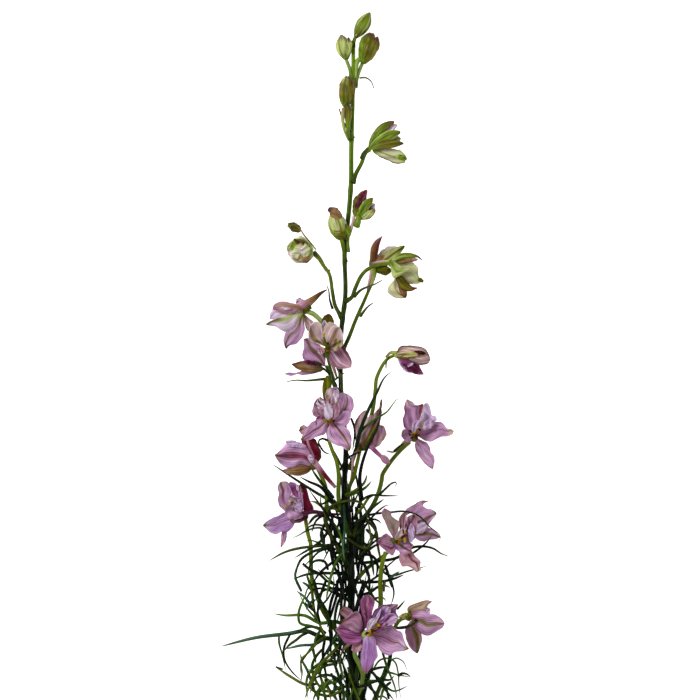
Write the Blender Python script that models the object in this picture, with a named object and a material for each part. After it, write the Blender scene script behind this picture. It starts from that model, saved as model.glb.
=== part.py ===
"""A cut larkspur stem lying on a table: stem, flower stalks, buds, flowers and thread-like leaves.

The stem runs along +Y, its cut end at the low end of Y. Sizes and places are in millimetres.
"""

import math

import bmesh
import bpy
import numpy as np

MM = 0.001
GAP = 0.3
WELD = 0.000001

# Rods are curves with a bevel of 4 + 2 * roundness sides, smoothed with this many steps to each span.
STEM_ROUNDNESS = 3
STALK_ROUNDNESS = 1
SPUR_ROUNDNESS = 1
LEAF_ROUNDNESS = 0
ROD_STEPS = 2

# Stalks: radius at the stem and at the flower, and how far short of the piece it carries each one stops.
STALK_R_BASE = 0.75
STALK_R_TOP = 0.6
BUD_STOP = 0.1
SPURRED_BUD_STOP = 0.9
FLOWER_STOP = 1.7

# The bead that a flower's sepals grow from, and the smaller one that its inner petals grow from.
BALL_R = 1.5
CORE_R = 0.9
BALL_SIDES = 8
BALL_LEVELS = 5

# Hollow spur behind a flower: radii at its root and its end, and how far inside a bud it starts.
SPUR_R_ROOT = 1.2
SPUR_R_END = 0.45
SPUR_INSET = 1.2

# Sepals and petals: thickness down the middle and at the edge, rows, how deep the edges cup as a share of
# half the width, outline exponents, width left at foot and tip, and how far inside the bead they start.
BLADE_THICK = 0.55
BLADE_EDGE = 0.32
BLADE_ROWS = 5
BLADE_CUP = 0.22
BLADE_SKEW = 0.8
BLADE_FULLNESS = 0.75
BLADE_FOOT = 0.22
BLADE_TIP = 0.16
SEPAL_INSET = 0.5
PETAL_INSET = 0.3
PETAL_ARCH = 1.0

# Closed buds: sides and rows, shallow ribs, outline exponents, and the width left at the ends.
BUD_SIDES = 10
BUD_ROWS = 6
BUD_RIBS = 5
BUD_RIB_DEPTH = 0.07
BUD_SKEW = 0.75
BUD_FULLNESS = 0.7
BUD_ENDS = 0.2
OPENING_BUDS = (5, 8)

# Leaf threads: radius at the stem and at the tip.
LEAF_R_BASE = 0.8
LEAF_R_TIP = 0.3

# Stem: x, y, height of the axis above the table, radius.
STEM = [
    (4.6, -22, 2.1, 2.1),
    (3.6, -10, 4.6, 2.1),
    (2.2, 5, 8.6, 2.0),
    (0.7, 22, 13.0, 1.9),
    (0.6, 50, 18.4, 1.7),
    (0.0, 85, 22.4, 1.5),
    (-2.7, 105, 23.6, 1.4),
    (-2.1, 125, 24.0, 1.3),
    (-4.5, 155, 23.6, 1.2),
    (-4.3, 185, 22.4, 1.2),
    (-2.4, 202, 21.2, 1.15),
    (-2.5, 228, 18.6, 1.1),
    (-1.5, 236, 17.6, 1.1),
    (0.5, 260, 14.0, 1.0),
    (0.5, 275, 12.0, 0.9),
    (1.2, 300, 9.0, 0.8),
    (1.5, 327, 6.6, 0.75),
]

# Each closed bud: base, tip, width, y where its stalk leaves the stem, stalk bends (x, y), spur bends.
BUDS = {
    1: ((2.9, 332.8, 5.8), (9.9, 344.8, 4.0), 6.4, 327.0, [], []),
    2: ((-2.2, 321.2, 7.4), (-5.2, 334.0, 6.4), 6.8, 311.0, [(-0.7, 317)], []),
    3: (
        (6.5, 319.2, 4.6), (12.0, 334.2, 4.0), 8.0, 306.0, [(4.0, 312.5)],
        [(-2.2, -1.2, 1.8), (-3.0, -6.0, 2.8)],
    ),
    4: (
        (-2.5, 297.0, 14.8), (-0.6, 312.4, 14.2), 7.4, 281.0, [(-1.7, 291)],
        [(1.6, -3.2, 1.4), (0.8, -10.0, 1.2)],
    ),
    6: (
        (3.8, 241.0, 21.0), (10.8, 254.4, 20.6), 7.6, 223.0, [(-0.2, 233)],
        [(-1.4, -1.6, 2.2), (-1.6, -4.0, 3.2)],
    ),
    7: ((-4.4, 231.4, 21.4), (-9.4, 247.4, 20.2), 8.8, 219.0, [(-4.0, 226.5)], []),
}

# Each opening bud or flower: the centre of its bead, the way it faces, y where its stalk leaves the stem,
# stalk bends (x, y), sepals (tip from the bead, width, arch), spur bends, inner petals (tip, width).
FLOWERS = {
    5: dict(
        base=(10.0, 276.2, 12.6),
        face=(0.4, 0.1, 0.9),
        stem_y=255.0,
        bends=[(3.0, 263.4), (6.0, 269.5)],
        sepals=[
            ((12.4, 13.8, 1.5), 5.8, -3.0),
            ((15.3, 8.6, 3.5), 5.4, -2.0),
            ((16.6, 2.4, 2.0), 4.6, -1.5),
            ((18.0, -5.8, 0.5), 7.0, 1.5),
            ((13.0, 3.0, -5.0), 5.4, 1.5),
        ],
        spur=[(-1.0, 2.4, -2.0), (-2.2, 5.0, -4.5)],
    ),
    8: dict(
        base=(-18.6, 224.8, 14.0),
        face=(-0.4, 0.1, 0.9),
        stem_y=190.0,
        bends=[(-7.6, 198), (-9.0, 206), (-11.4, 215)],
        sepals=[
            ((-9.5, 11.5, 1.0), 5.6, -3.0),
            ((-12.4, 6.0, 5.0), 7.0, -3.4),
            ((-12.6, -1.4, 6.0), 8.4, -3.4),
            ((-10.0, -5.0, -1.0), 8.0, -2.6),
            ((-10.8, 3.0, -6.0), 8.0, -2.4),
        ],
        spur=[(1.6, 2.6, -1.6), (2.4, 5.6, -4.0)],
    ),
    9: dict(
        base=(13.0, 215.8, 7.8),
        face=(0.3, 0.3, 0.9),
        stem_y=173.0,
        bends=[(-0.8, 181), (2.6, 189.5), (8.6, 203)],
        sepals=[
            ((3.2, 16.6, 1.0), 4.8, -1.6),
            ((14.0, 9.4, 2.6), 7.0, 2.0),
            ((14.6, 14.6, -1.6), 5.4, 1.6),
            ((13.0, 2.4, -4.4), 7.0, 1.6),
            ((8.0, 8.0, -7.4), 7.0, 1.2),
        ],
        spur=[(-1.0, 1.4, -2.6), (-2.0, 4.4, -6.0)],
    ),
    10: dict(
        base=(20.5, 219.0, 24.0),
        face=(0.4, -0.2, 0.9),
        stem_y=196.5,
        bends=[(1.8, 204), (5.0, 211), (10.4, 216.4)],
        sepals=[
            ((15.6, 1.4, 1.6), 6.6, -4.6),
            ((10.6, -6.6, 6.0), 6.4, -2.0),
            ((16.0, -9.0, -1.4), 7.4, -2.0),
            ((7.6, -17.6, 2.4), 7.0, -2.4),
            ((12.6, -12.6, -6.4), 6.6, -2.0),
        ],
        spur=[(-2.0, 2.4, -2.0), (-4.0, 6.4, -4.6)],
    ),
    11: dict(
        base=(-23.0, 194.4, 9.4),
        face=(-0.4, -0.2, 0.9),
        stem_y=171.0,
        bends=[(-10.4, 184), (-17.4, 192.4)],
        sepals=[
            ((-14.6, 3.6, 2.6), 6.4, -2.4),
            ((-18.8, -5.6, 3.6), 7.6, -2.4),
            ((-9.0, -18.0, 2.4), 9.0, -2.4),
            ((-2.0, -16.4, -5.0), 8.0, 2.0),
            ((-14.0, -4.0, -9.0), 8.0, -2.0),
        ],
        spur=[(0.4, 2.4, 0.8), (4.4, 6.6, 1.6), (10.4, 10.4, 2.0)],
    ),
    12: dict(
        base=(-12.0, 172.4, 33.0),
        face=(-0.05, 0.1, 1.0),
        stem_y=150.5,
        bends=[(-8.8, 159), (-11.4, 166)],
        sepals=[
            ((1.0, 20.4, 6.0), 8.0, 3.0),
            ((-12.0, 8.0, 5.6), 8.6, 2.4),
            ((-16.6, -4.2, 4.6), 8.4, 2.4),
            ((12.4, -4.2, 5.0), 9.0, 2.4),
            ((9.2, 11.0, 5.6), 8.4, 2.4),
        ],
        spur=[(0.0, 3.0, -2.0), (-1.0, 9.0, -3.4)],
        petals=[((-3.4, 7.0, 7.4), 5.6), ((3.4, 6.4, 7.6), 5.6), ((0.2, -3.6, 7.0), 5.0)],
    ),
    13: dict(
        base=(23.2, 172.6, 24.6),
        face=(0.4, -0.2, 0.9),
        stem_y=116.5,
        bends=[(6.4, 133), (11.2, 144), (12.8, 157), (16.4, 167.6)],
        sepals=[
            ((10.0, 4.2, 2.4), 6.0, -2.4),
            ((17.0, -1.4, 1.6), 6.4, -2.0),
            ((13.0, -9.6, 3.6), 8.0, -2.0),
            ((5.4, -9.4, -2.4), 7.4, 1.6),
            ((12.0, -3.6, -7.0), 7.4, -1.6),
        ],
        spur=[(0.6, 2.4, -2.6), (1.4, 4.0, -7.0)],
    ),
    14: dict(
        base=(31.2, 129.2, 8.0),
        face=(0.0, 0.1, 1.0),
        stem_y=83.0,
        bends=[(9.4, 94), (14.8, 106), (19.4, 117.4), (27.0, 124.0)],
        sepals=[
            ((-4.2, 20.8, 7.6), 8.6, 2.6),
            ((12.6, 17.6, 7.0), 8.4, 2.6),
            ((20.8, 4.6, 4.6), 9.6, 2.6),
            ((10.2, -13.4, 4.4), 10.0, 2.4),
            ((-8.0, 5.4, 7.6), 6.2, 2.0),
        ],
        spur=[(0.0, 3.0, -2.4), (-2.0, 9.4, -5.4), (-4.4, 15.0, -7.4)],
        petals=[((-2.6, 8.6, 8.0), 5.4), ((3.0, 9.6, 7.6), 5.0), ((1.6, -3.0, 7.4), 5.0)],
    ),
    15: dict(
        base=(7.0, 127.2, 31.0),
        face=(0.2, 0.4, 0.9),
        stem_y=103.0,
        bends=[(2.0, 112), (4.6, 120)],
        sepals=[
            ((3.0, 17.4, 2.4), 6.0, -2.0),
            ((7.6, 16.4, 0.4), 5.6, -2.0),
            ((-3.6, 14.0, 1.4), 5.6, -2.0),
            ((10.4, 7.4, 2.4), 7.4, -2.4),
            ((4.6, 13.4, -5.0), 7.0, -2.0),
        ],
        spur=[(3.4, -0.6, 1.0), (8.0, -3.6, 1.6), (11.8, -7.6, 1.6)],
    ),
    16: dict(
        base=(-11.0, 133.4, 33.4),
        face=(0.0, 0.1, 1.0),
        stem_y=84.0,
        bends=[(-6.2, 104), (-5.8, 115), (-9.0, 125.6)],
        sepals=[
            ((1.0, 22.6, 6.8), 8.2, 3.0),
            ((-9.6, 15.8, 6.4), 7.0, 2.2),
            ((12.4, 17.0, 6.4), 8.6, 2.6),
            ((-13.6, -2.6, 5.6), 8.4, 2.4),
            ((10.8, -8.0, 5.6), 9.6, 2.4),
        ],
        spur=[(0.2, 3.0, -2.0), (-0.6, 9.0, -3.4)],
        petals=[((-3.4, 7.6, 7.6), 5.6), ((3.6, 7.0, 7.6), 5.6), ((-0.2, -3.2, 7.0), 5.0)],
    ),
    17: dict(
        base=(-18.4, 117.4, 17.4),
        face=(-0.4, 0.1, 0.9),
        stem_y=63.0,
        bends=[(-8.0, 78), (-12.4, 91), (-11.8, 101), (-14.4, 111.6)],
        sepals=[
            ((-15.6, 11.6, 2.6), 7.0, -2.4),
            ((-19.0, 2.6, 3.4), 6.0, -1.6),
            ((-15.0, -4.6, 0.6), 6.6, -1.6),
            ((1.8, 13.4, 2.0), 6.6, 2.4),
            ((-10.0, 7.6, -7.0), 8.0, -2.0),
        ],
        spur=[(1.6, 1.8, 1.4), (4.4, -1.6, 3.0), (8.0, -6.4, 4.0), (10.6, -10.4, 4.4)],
    ),
    18: dict(
        base=(-22.8, 92.6, 8.0),
        face=(-0.6, 0.1, 0.8),
        stem_y=21.0,
        bends=[(-10.0, 36), (-16.0, 50), (-19.6, 64), (-20.0, 78), (-22.0, 87)],
        sepals=[
            ((-12.6, 14.6, 4.0), 7.0, -2.4),
            ((0.4, 14.4, 1.0), 6.4, 2.4),
            ((-20.4, -5.4, 1.4), 9.0, -2.4),
            ((-11.6, -16.0, 0.6), 7.4, -2.0),
            ((-13.0, 4.0, -7.6), 8.4, -2.0),
        ],
        spur=[(3.0, 2.2, 0.0), (8.4, 1.6, 0.6), (17.0, -0.4, 1.6)],
        petals=[((-6.0, 3.6, 8.6), 5.2), ((-10.4, 0.8, 7.4), 5.4)],
    ),
    19: dict(
        base=(19.4, 76.4, 26.4),
        face=(0.1, 0.1, 1.0),
        stem_y=11.0,
        bends=[(10.6, 27), (15.2, 46), (15.0, 63), (16.6, 70)],
        sepals=[
            ((-2.6, 19.0, 6.4), 7.4, 2.4),
            ((-6.6, 6.4, 6.6), 6.6, 2.0),
            ((13.4, -11.4, 5.6), 9.4, 2.4),
            ((15.0, 3.6, 5.0), 7.4, 2.4),
            ((7.4, 14.4, 5.0), 7.4, 2.4),
        ],
        spur=[(-3.0, 1.4, -1.0), (-8.6, 3.6, -1.4)],
        petals=[((-3.6, 5.6, 7.0), 5.0), ((3.6, 5.6, 7.4), 5.2), ((3.0, -3.4, 7.0), 5.0)],
    ),
    20: dict(
        base=(31.6, 84.6, 8.4),
        face=(0.4, 0.1, 0.9),
        stem_y=57.0,
        bends=[(10.0, 66), (21.0, 76)],
        sepals=[
            ((8.0, 13.6, 2.6), 7.0, -2.0),
            ((12.0, 8.0, 4.6), 7.0, -2.0),
            ((13.8, -3.4, 2.4), 7.4, -2.0),
            ((7.0, -8.4, -3.4), 7.4, 1.8),
            ((10.0, 4.4, -8.0), 8.0, -1.6),
        ],
        spur=[(-2.0, 3.0, -1.6), (-5.0, 7.0, -4.0)],
    ),
    21: dict(
        base=(6.4, 31.4, 29.4),
        face=(0.1, 0.0, 1.0),
        stem_y=-1.0,
        bends=[(6.6, 12.6), (4.0, 20.0)],
        sepals=[
            ((2.0, 21.4, 6.6), 8.0, 2.4),
            ((-12.4, 7.6, 6.0), 9.0, 2.4),
            ((17.0, 16.2, 6.4), 9.0, 2.6),
            ((21.8, -1.4, 5.6), 10.6, 2.6),
            ((3.0, -17.4, 6.4), 8.6, 2.4),
        ],
        spur=[(-3.4, -1.4, -0.6), (-6.4, -4.0, -1.0), (-9.8, -7.0, -1.6)],
        petals=[((-3.6, 6.6, 7.6), 5.8), ((4.4, 6.6, 7.8), 5.8), ((0.8, -4.0, 7.2), 5.4)],
    ),
    22: dict(
        base=(29.6, 40.8, 8.0),
        face=(0.4, -0.1, 0.9),
        stem_y=-14.0,
        bends=[(12.0, 0.0), (18.8, 15.4), (21.4, 28), (24.6, 38)],
        sepals=[
            ((11.0, 7.6, 2.6), 7.0, -2.0),
            ((16.8, -3.4, 3.6), 8.0, -2.0),
            ((4.4, -17.0, 1.4), 9.0, -2.0),
            ((12.0, 1.6, -7.4), 8.0, -1.6),
            ((9.0, -8.0, -6.6), 8.0, -1.6),
        ],
        spur=[(-1.4, 1.6, 2.8), (-4.0, 4.0, 5.4)],
    ),
}

# Each leaf: y where it leaves the stem, then its threads as points (x, y, z). The first thread starts at the
# stem, and each later one starts on a point of an earlier one.
LEAVES = [
    (27.0, [
        [(-7.0, 29.6, 8.4), (-15.0, 31.2, 9.0), (-29.7, 33.2, 8.0), (-47.5, 31.0, 4.0), (-64.6, 26.6, 0.6)],
        [(-29.7, 33.2, 8.0), (-33.4, 25.0, 8.6), (-33.0, 19.0, 6.0), (-24.4, 8.6, 4.0)],
        [(-15.0, 31.2, 9.0), (-22.0, 22.0, 11.0), (-24.6, 12.0, 10.0)],
        [(-47.5, 31.0, 4.0), (-41.0, 25.0, 6.6), (-37.4, 16.0, 5.0), (-27.6, 9.4, 1.6)],
    ]),
    (37.0, [
        [(-15.0, 38.4, 20.4), (-27.6, 42.2, 18.4), (-38.4, 42.8, 14.0)],
        [(-15.0, 38.4, 20.4), (-24.0, 47.4, 22.0), (-25.0, 52.0, 23.0)],
        [(-15.0, 38.4, 20.4), (-15.6, 46.0, 25.0), (-9.6, 52.0, 27.0), (-8.0, 60.0, 27.0)],
    ]),
    (17.0, [
        [(-8.0, 14.0, 19.0), (-17.0, 16.0, 20.0), (-19.4, 6.0, 17.0), (-22.4, 0.0, 14.0)],
        [(-8.0, 14.0, 19.0), (-10.4, 6.0, 22.0), (-6.0, -2.0, 20.0)],
        [(-8.0, 14.0, 19.0), (-14.4, 21.0, 23.0), (-21.0, 24.6, 22.0), (-24.6, 19.0, 20.0)],
    ]),
    (72.0, [
        [(-14.6, 86.0, 24.6), (-24.0, 80.6, 26.0), (-29.0, 81.0, 25.0)],
        [(-14.6, 86.0, 24.6), (-17.4, 97.0, 27.0), (-20.0, 102.0, 28.0), (-38.4, 117.6, 30.4)],
        [(-14.6, 86.0, 24.6), (-13.0, 78.0, 29.0), (-19.0, 71.0, 30.0), (-24.0, 66.0, 27.0)],
    ]),
    (94.0, [
        [(-9.6, 100.4, 20.8), (-15.0, 106.4, 23.6), (-25.0, 111.6, 28.0)],
        [(-9.6, 100.4, 20.8), (-14.6, 97.6, 23.0), (-19.8, 99.6, 23.6)],
    ]),
    (90.0, [
        [(6.0, 100.0, 28.0), (14.4, 103.0, 30.4), (24.0, 103.6, 30.0)],
        [(14.4, 103.0, 30.4), (20.6, 109.6, 31.4), (22.6, 103.8, 33.0)],
        [(6.0, 100.0, 28.0), (5.0, 113.0, 35.0), (10.4, 130.0, 39.4), (16.0, 144.6, 39.0)],
    ]),
    (88.0, [
        [(9.0, 92.4, 25.0), (20.0, 93.8, 23.6), (33.0, 92.4, 24.6), (44.6, 84.0, 25.0)],
        [(9.0, 92.4, 25.0), (13.0, 85.0, 21.0), (9.0, 77.0, 25.6), (4.0, 71.0, 28.0)],
    ]),
    (68.0, [
        [(12.0, 69.0, 18.0), (24.0, 71.4, 17.6), (36.0, 76.0, 20.0), (41.0, 82.0, 22.0)],
        [(12.0, 69.0, 18.0), (20.0, 62.4, 16.6), (38.4, 66.8, 18.0)],
    ]),
    (5.0, [
        [(14.4, 9.4, 16.0), (24.0, 18.0, 17.0), (29.6, 12.0, 15.0)],
        [(14.4, 9.4, 16.0), (22.0, 4.0, 14.0), (29.0, 6.6, 12.0)],
        [(14.4, 9.4, 16.0), (19.0, 13.6, 21.0), (27.0, 20.0, 23.0), (31.0, 14.0, 22.0)],
    ]),
]

COLOURS = {
    "stem": ((0.11, 0.19, 0.035), 0.50),
    "stalk": ((0.20, 0.27, 0.06), 0.50),
    "bud": ((0.26, 0.30, 0.09), 0.45),
    "sepals": ((0.46, 0.25, 0.40), 0.55),
    "petals": ((0.66, 0.55, 0.60), 0.55),
    "leaf": ((0.035, 0.095, 0.03), 0.55),
}


def unit(v):
    v = np.asarray(v, float)
    return v / np.linalg.norm(v)


def smooth_path(points, steps):
    """Catmull-Rom samples through the points, steps to each span."""
    p = np.asarray(points, float)
    ext = np.vstack([2 * p[0] - p[1], p, 2 * p[-1] - p[-2]])
    out = []
    for i in range(len(p) - 1):
        a, b, c, d = ext[i : i + 4]
        for t in np.arange(steps) / steps:
            bend = (2 * a - 5 * b + 4 * c - d) * t**2 + (3 * b - a - 3 * c + d) * t**3
            out.append((2 * b + (c - a) * t + bend) / 2)
    out.append(p[-1])
    return np.array(out)


def rod_curve(name, path, radii, roundness):
    """A tapered round rod: a poly curve with a bevel and closed ends, its radius set at each point."""
    curve = bpy.data.curves.new(name, "CURVE")
    curve.dimensions = "3D"
    curve.bevel_depth = MM
    curve.bevel_resolution = roundness
    curve.use_fill_caps = True
    spline = curve.splines.new("POLY")
    spline.points.add(len(path) - 1)
    for spot, place, radius in zip(spline.points, path, radii):
        spot.co = (*(place * MM), 1)
        spot.radius = radius
    return curve


def rod_mesh(name, path, radii, roundness):
    """The same rod as a mesh with its end caps welded on, ready to be joined to others."""
    holder = bpy.data.objects.new(name, rod_curve(name, path, radii, roundness))
    tools.objects.link(holder)
    evaluated = holder.evaluated_get(bpy.context.evaluated_depsgraph_get())
    mesh = bpy.data.meshes.new_from_object(evaluated)
    bpy.data.objects.remove(holder)
    shape = bmesh.new()
    shape.from_mesh(mesh)
    bmesh.ops.remove_doubles(shape, verts=shape.verts, dist=WELD)
    bmesh.ops.recalc_face_normals(shape, faces=shape.faces)
    shape.to_mesh(mesh)
    shape.free()
    return mesh


def loft(name, rings):
    """A closed skin over unlike rings of points: quads between neighbours and a fan over each end."""
    shape = bmesh.new()
    rows = [[shape.verts.new(point * MM) for point in ring] for ring in rings]
    for row, after in zip(rows, rows[1:]):
        for i in range(len(row)):
            shape.faces.new((row[i - 1], row[i], after[i], after[i - 1]))
    for row, ring in ((rows[0], rings[0]), (rows[-1], rings[-1])):
        pole = shape.verts.new(np.mean(ring, axis=0) * MM)
        for i in range(len(row)):
            shape.faces.new((pole, row[i - 1], row[i]))
    bmesh.ops.recalc_face_normals(shape, faces=shape.faces)
    mesh = bpy.data.meshes.new(name)
    shape.to_mesh(mesh)
    shape.free()
    return mesh


def bead(name, centre, radius):
    mesh = bpy.data.meshes.new(name)
    shape = bmesh.new()
    bmesh.ops.create_uvsphere(shape, u_segments=BALL_SIDES, v_segments=BALL_LEVELS, radius=radius * MM)
    bmesh.ops.translate(shape, verts=shape.verts, vec=np.asarray(centre) * MM)
    shape.to_mesh(mesh)
    shape.free()
    return mesh


def blade(name, base, tip, width, face, arch):
    """A petal: arched from base to tip, widest past its middle, its edges cupped towards face."""
    along = unit(tip - base)
    normal = unit(face - along * np.dot(face, along))
    middle = (base + tip) / 2 - normal * arch
    t = np.linspace(0, 1, BLADE_ROWS)[:, None]
    path = base * (1 - t) ** 2 + 2 * middle * t * (1 - t) + tip * t**2
    rings = []
    for i, point in enumerate(path):
        outline = math.sin(math.pi * (i / (BLADE_ROWS - 1)) ** BLADE_SKEW) ** BLADE_FULLNESS
        half = width / 2 * max(outline, BLADE_TIP if i else BLADE_FOOT)
        tangent = unit(path[min(i + 1, BLADE_ROWS - 1)] - path[max(i - 1, 0)])
        across = unit(np.cross(tangent, normal))
        out = np.cross(across, tangent)
        cup = BLADE_CUP * half
        section = [
            (-half, cup + BLADE_EDGE / 2),
            (0, BLADE_THICK / 2),
            (half, cup + BLADE_EDGE / 2),
            (half, cup - BLADE_EDGE / 2),
            (0, -BLADE_THICK / 2),
            (-half, cup - BLADE_EDGE / 2),
        ]
        rings.append([point + across * x + out * z for x, z in section])
    return loft(name, rings)


def bud_mesh(name, base, tip, width):
    """A closed bud: egg-shaped with shallow ribs where its folded sepals meet."""
    along = unit(tip - base)
    side = unit(np.cross(along, (0, 0, 1)))
    up = np.cross(side, along)
    angle = np.linspace(0, 2 * math.pi, BUD_SIDES, endpoint=False)
    round_it = np.cos(angle)[:, None] * side + np.sin(angle)[:, None] * up
    ribs = 1 + BUD_RIB_DEPTH * np.cos(BUD_RIBS * angle)[:, None]
    rings = []
    for share in np.linspace(0, 1, BUD_ROWS):
        outline = math.sin(math.pi * share**BUD_SKEW) ** BUD_FULLNESS
        rings.append(base + (tip - base) * share + width / 2 * max(outline, BUD_ENDS) * ribs * round_it)
    return loft(name, rings)


def spur_mesh(name, base, bends):
    path = smooth_path([base, *(base + bend for bend in bends)], ROD_STEPS)
    return rod_mesh(name, path, np.linspace(SPUR_R_ROOT, SPUR_R_END, len(path)), SPUR_ROUNDNESS)


def stem_at(y):
    """Axis point and radius of the stem at a given y."""
    xs, ys, zs, radii = np.transpose(STEM)
    return np.array([np.interp(y, ys, xs), y, np.interp(y, ys, zs)]), np.interp(y, ys, radii)


def leave_stem(y, towards, radius):
    """Where a rod of this radius starts, just clear of the stem's skin."""
    axis, stem_r = stem_at(y)
    run = unit(stem_at(y + stem_r)[0] - stem_at(y - stem_r)[0])
    way = unit(towards - axis)
    outward = unit(way - run * np.dot(way, run))
    lean = math.sqrt(max(1 - np.dot(way, outward) ** 2, 0))
    return axis + outward * (stem_r + GAP + radius * lean)


def material(name, kind):
    colour, rough = COLOURS[kind]
    made = bpy.data.materials.new(name)
    made.use_nodes = True
    shader = made.node_tree.nodes["Principled BSDF"]
    shader.inputs["Base Color"].default_value = (*colour, 1)
    shader.inputs["Roughness"].default_value = rough
    shader.inputs["Metallic"].default_value = 0.0
    return made


def add_object(name, data, kind):
    """A piece of the plant, from its mesh or curve, with its own material."""
    obj = bpy.data.objects.new(name, data)
    flower.objects.link(obj)
    data.materials.append(material(name, kind))
    return obj


def join(name, meshes, kind):
    """One solid grown from several overlapping ones. MANIFOLD, because EXACT leaves some of these thin
    blades out of the union."""
    body = add_object(name, meshes[0], kind)
    for i, mesh in enumerate(meshes[1:], 1):
        part = bpy.data.objects.new(f"{name}_part_{i}", mesh)
        tools.objects.link(part)
        part.hide_render = True
        part.display_type = "WIRE"
        grow = body.modifiers.new(f"join_{i}", "BOOLEAN")
        grow.operation = "UNION"
        grow.solver = "MANIFOLD"
        grow.object = part


def add_stalk(number, stem_y, bends, base, stop):
    """A flower stalk from the stem to just short of what it carries, rising evenly along its run."""
    start, _ = stem_at(stem_y)
    flat = np.array([start[:2], *bends, base[:2]])
    run = np.concatenate([[0], np.cumsum(np.linalg.norm(np.diff(flat, axis=0), axis=1))])
    heights = start[2] + (base[2] - start[2]) * run / run[-1]
    points = np.column_stack([flat, heights])
    if stem_y < STEM[-1][1]:
        points[0] = leave_stem(stem_y, points[1], STALK_R_BASE)
    else:
        points[0] += unit(points[1] - points[0]) * GAP
    points[-1] += unit(points[-2] - base) * (stop + GAP)
    path = smooth_path(points, ROD_STEPS)
    name = f"stalk_{number:02d}"
    radii = np.linspace(STALK_R_BASE, STALK_R_TOP, len(path))
    add_object(name, rod_curve(name, path, radii, STALK_ROUNDNESS), "stalk")


def add_bud(number, base, tip, width, stem_y, bends, spur):
    name = f"bud_{number:02d}"
    base, tip = np.array(base), np.array(tip)
    meshes = [bud_mesh(name, base, tip, width)]
    if spur:
        start = base + unit(tip - base) * SPUR_INSET
        meshes.append(spur_mesh(f"{name}_spur", start, spur))
    join(name, meshes, "bud")
    add_stalk(number, stem_y, bends, base, SPURRED_BUD_STOP if spur else BUD_STOP)


def add_flower(number, base, face, stem_y, bends, sepals, spur, petals=()):
    """Sepals and a spur grown from one bead, and inner petals grown from a smaller bead on top of it."""
    base, face = np.array(base), unit(face)
    kind = "bud" if number in OPENING_BUDS else "sepals"
    name = f"{kind}_{number:02d}"
    outer = [bead(name, base, BALL_R)]
    for i, (offset, width, arch) in enumerate(sepals, 1):
        foot = base + unit(offset) * SEPAL_INSET
        outer.append(blade(f"{name}_{i}", foot, base + offset, width, face, arch))
    outer.append(spur_mesh(f"{name}_spur", base, spur))
    join(name, outer, kind)
    add_stalk(number, stem_y, bends, base, FLOWER_STOP)
    if petals:
        name = f"petals_{number:02d}"
        core = base + face * (BALL_R + GAP + CORE_R)
        inner = [bead(name, core, CORE_R)]
        for i, (offset, width) in enumerate(petals, 1):
            tip = base + offset
            foot = core + unit(tip - core) * PETAL_INSET
            inner.append(blade(f"{name}_{i}", foot, tip, width, face, PETAL_ARCH))
        join(name, inner, "petals")


def add_leaf(number, stem_y, threads):
    """A leaf of thin threads: the first leaves the stem, and the others fork off it or off each other."""
    name = f"leaf_{number}"
    meshes = []
    for i, thread in enumerate(threads):
        points = np.array(thread)
        if i == 0:
            points = np.vstack([leave_stem(stem_y, points[0], LEAF_R_BASE), points])
        path = smooth_path(points, ROD_STEPS)
        radii = np.linspace(LEAF_R_BASE, LEAF_R_TIP, len(path))
        meshes.append(rod_mesh(f"{name}_{i}", path, radii, LEAF_ROUNDNESS))
    join(name, meshes, "leaf")


def corners_of(obj):
    """The finished shape's points, before the piece is moved."""
    evaluated = obj.evaluated_get(bpy.context.evaluated_depsgraph_get())
    points = np.array([v.co[:] for v in evaluated.to_mesh().vertices])
    evaluated.to_mesh_clear()
    return points


for old in list(bpy.data.objects):
    bpy.data.objects.remove(old)

flower = bpy.data.collections.new("larkspur_flower")
tools = bpy.data.collections.new("joining_pieces")
bpy.context.scene.collection.children.link(flower)
bpy.context.scene.collection.children.link(tools)
tools.hide_render = True

stem_table = np.array(STEM)
add_object("main_stem", rod_curve("main_stem", stem_table[:, :3], stem_table[:, 3], STEM_ROUNDNESS), "stem")
for bud_number, bud_row in BUDS.items():
    add_bud(bud_number, *bud_row)
for flower_number, flower_row in FLOWERS.items():
    add_flower(flower_number, **flower_row)
for leaf_number, (leaf_y, leaf_threads) in enumerate(LEAVES, 1):
    add_leaf(leaf_number, leaf_y, leaf_threads)

# The origin goes to the middle of the plant's underside, on the table.
corners = np.vstack([corners_of(obj) for obj in flower.objects])
low, high = corners.min(axis=0), corners.max(axis=0)
for obj in [*flower.objects, *tools.objects]:
    obj.location = (-(low[0] + high[0]) / 2, -(low[1] + high[1]) / 2, -low[2])
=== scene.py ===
"""A cut larkspur stem lying on a pale table: stem, flower stalks, buds, flowers and thread-like leaves.

Tables give places in millimetres on the drawing of the plant: x across, y up the stem from the lowest
leaves, z up from the table. place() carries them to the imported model.
"""

import math

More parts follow.
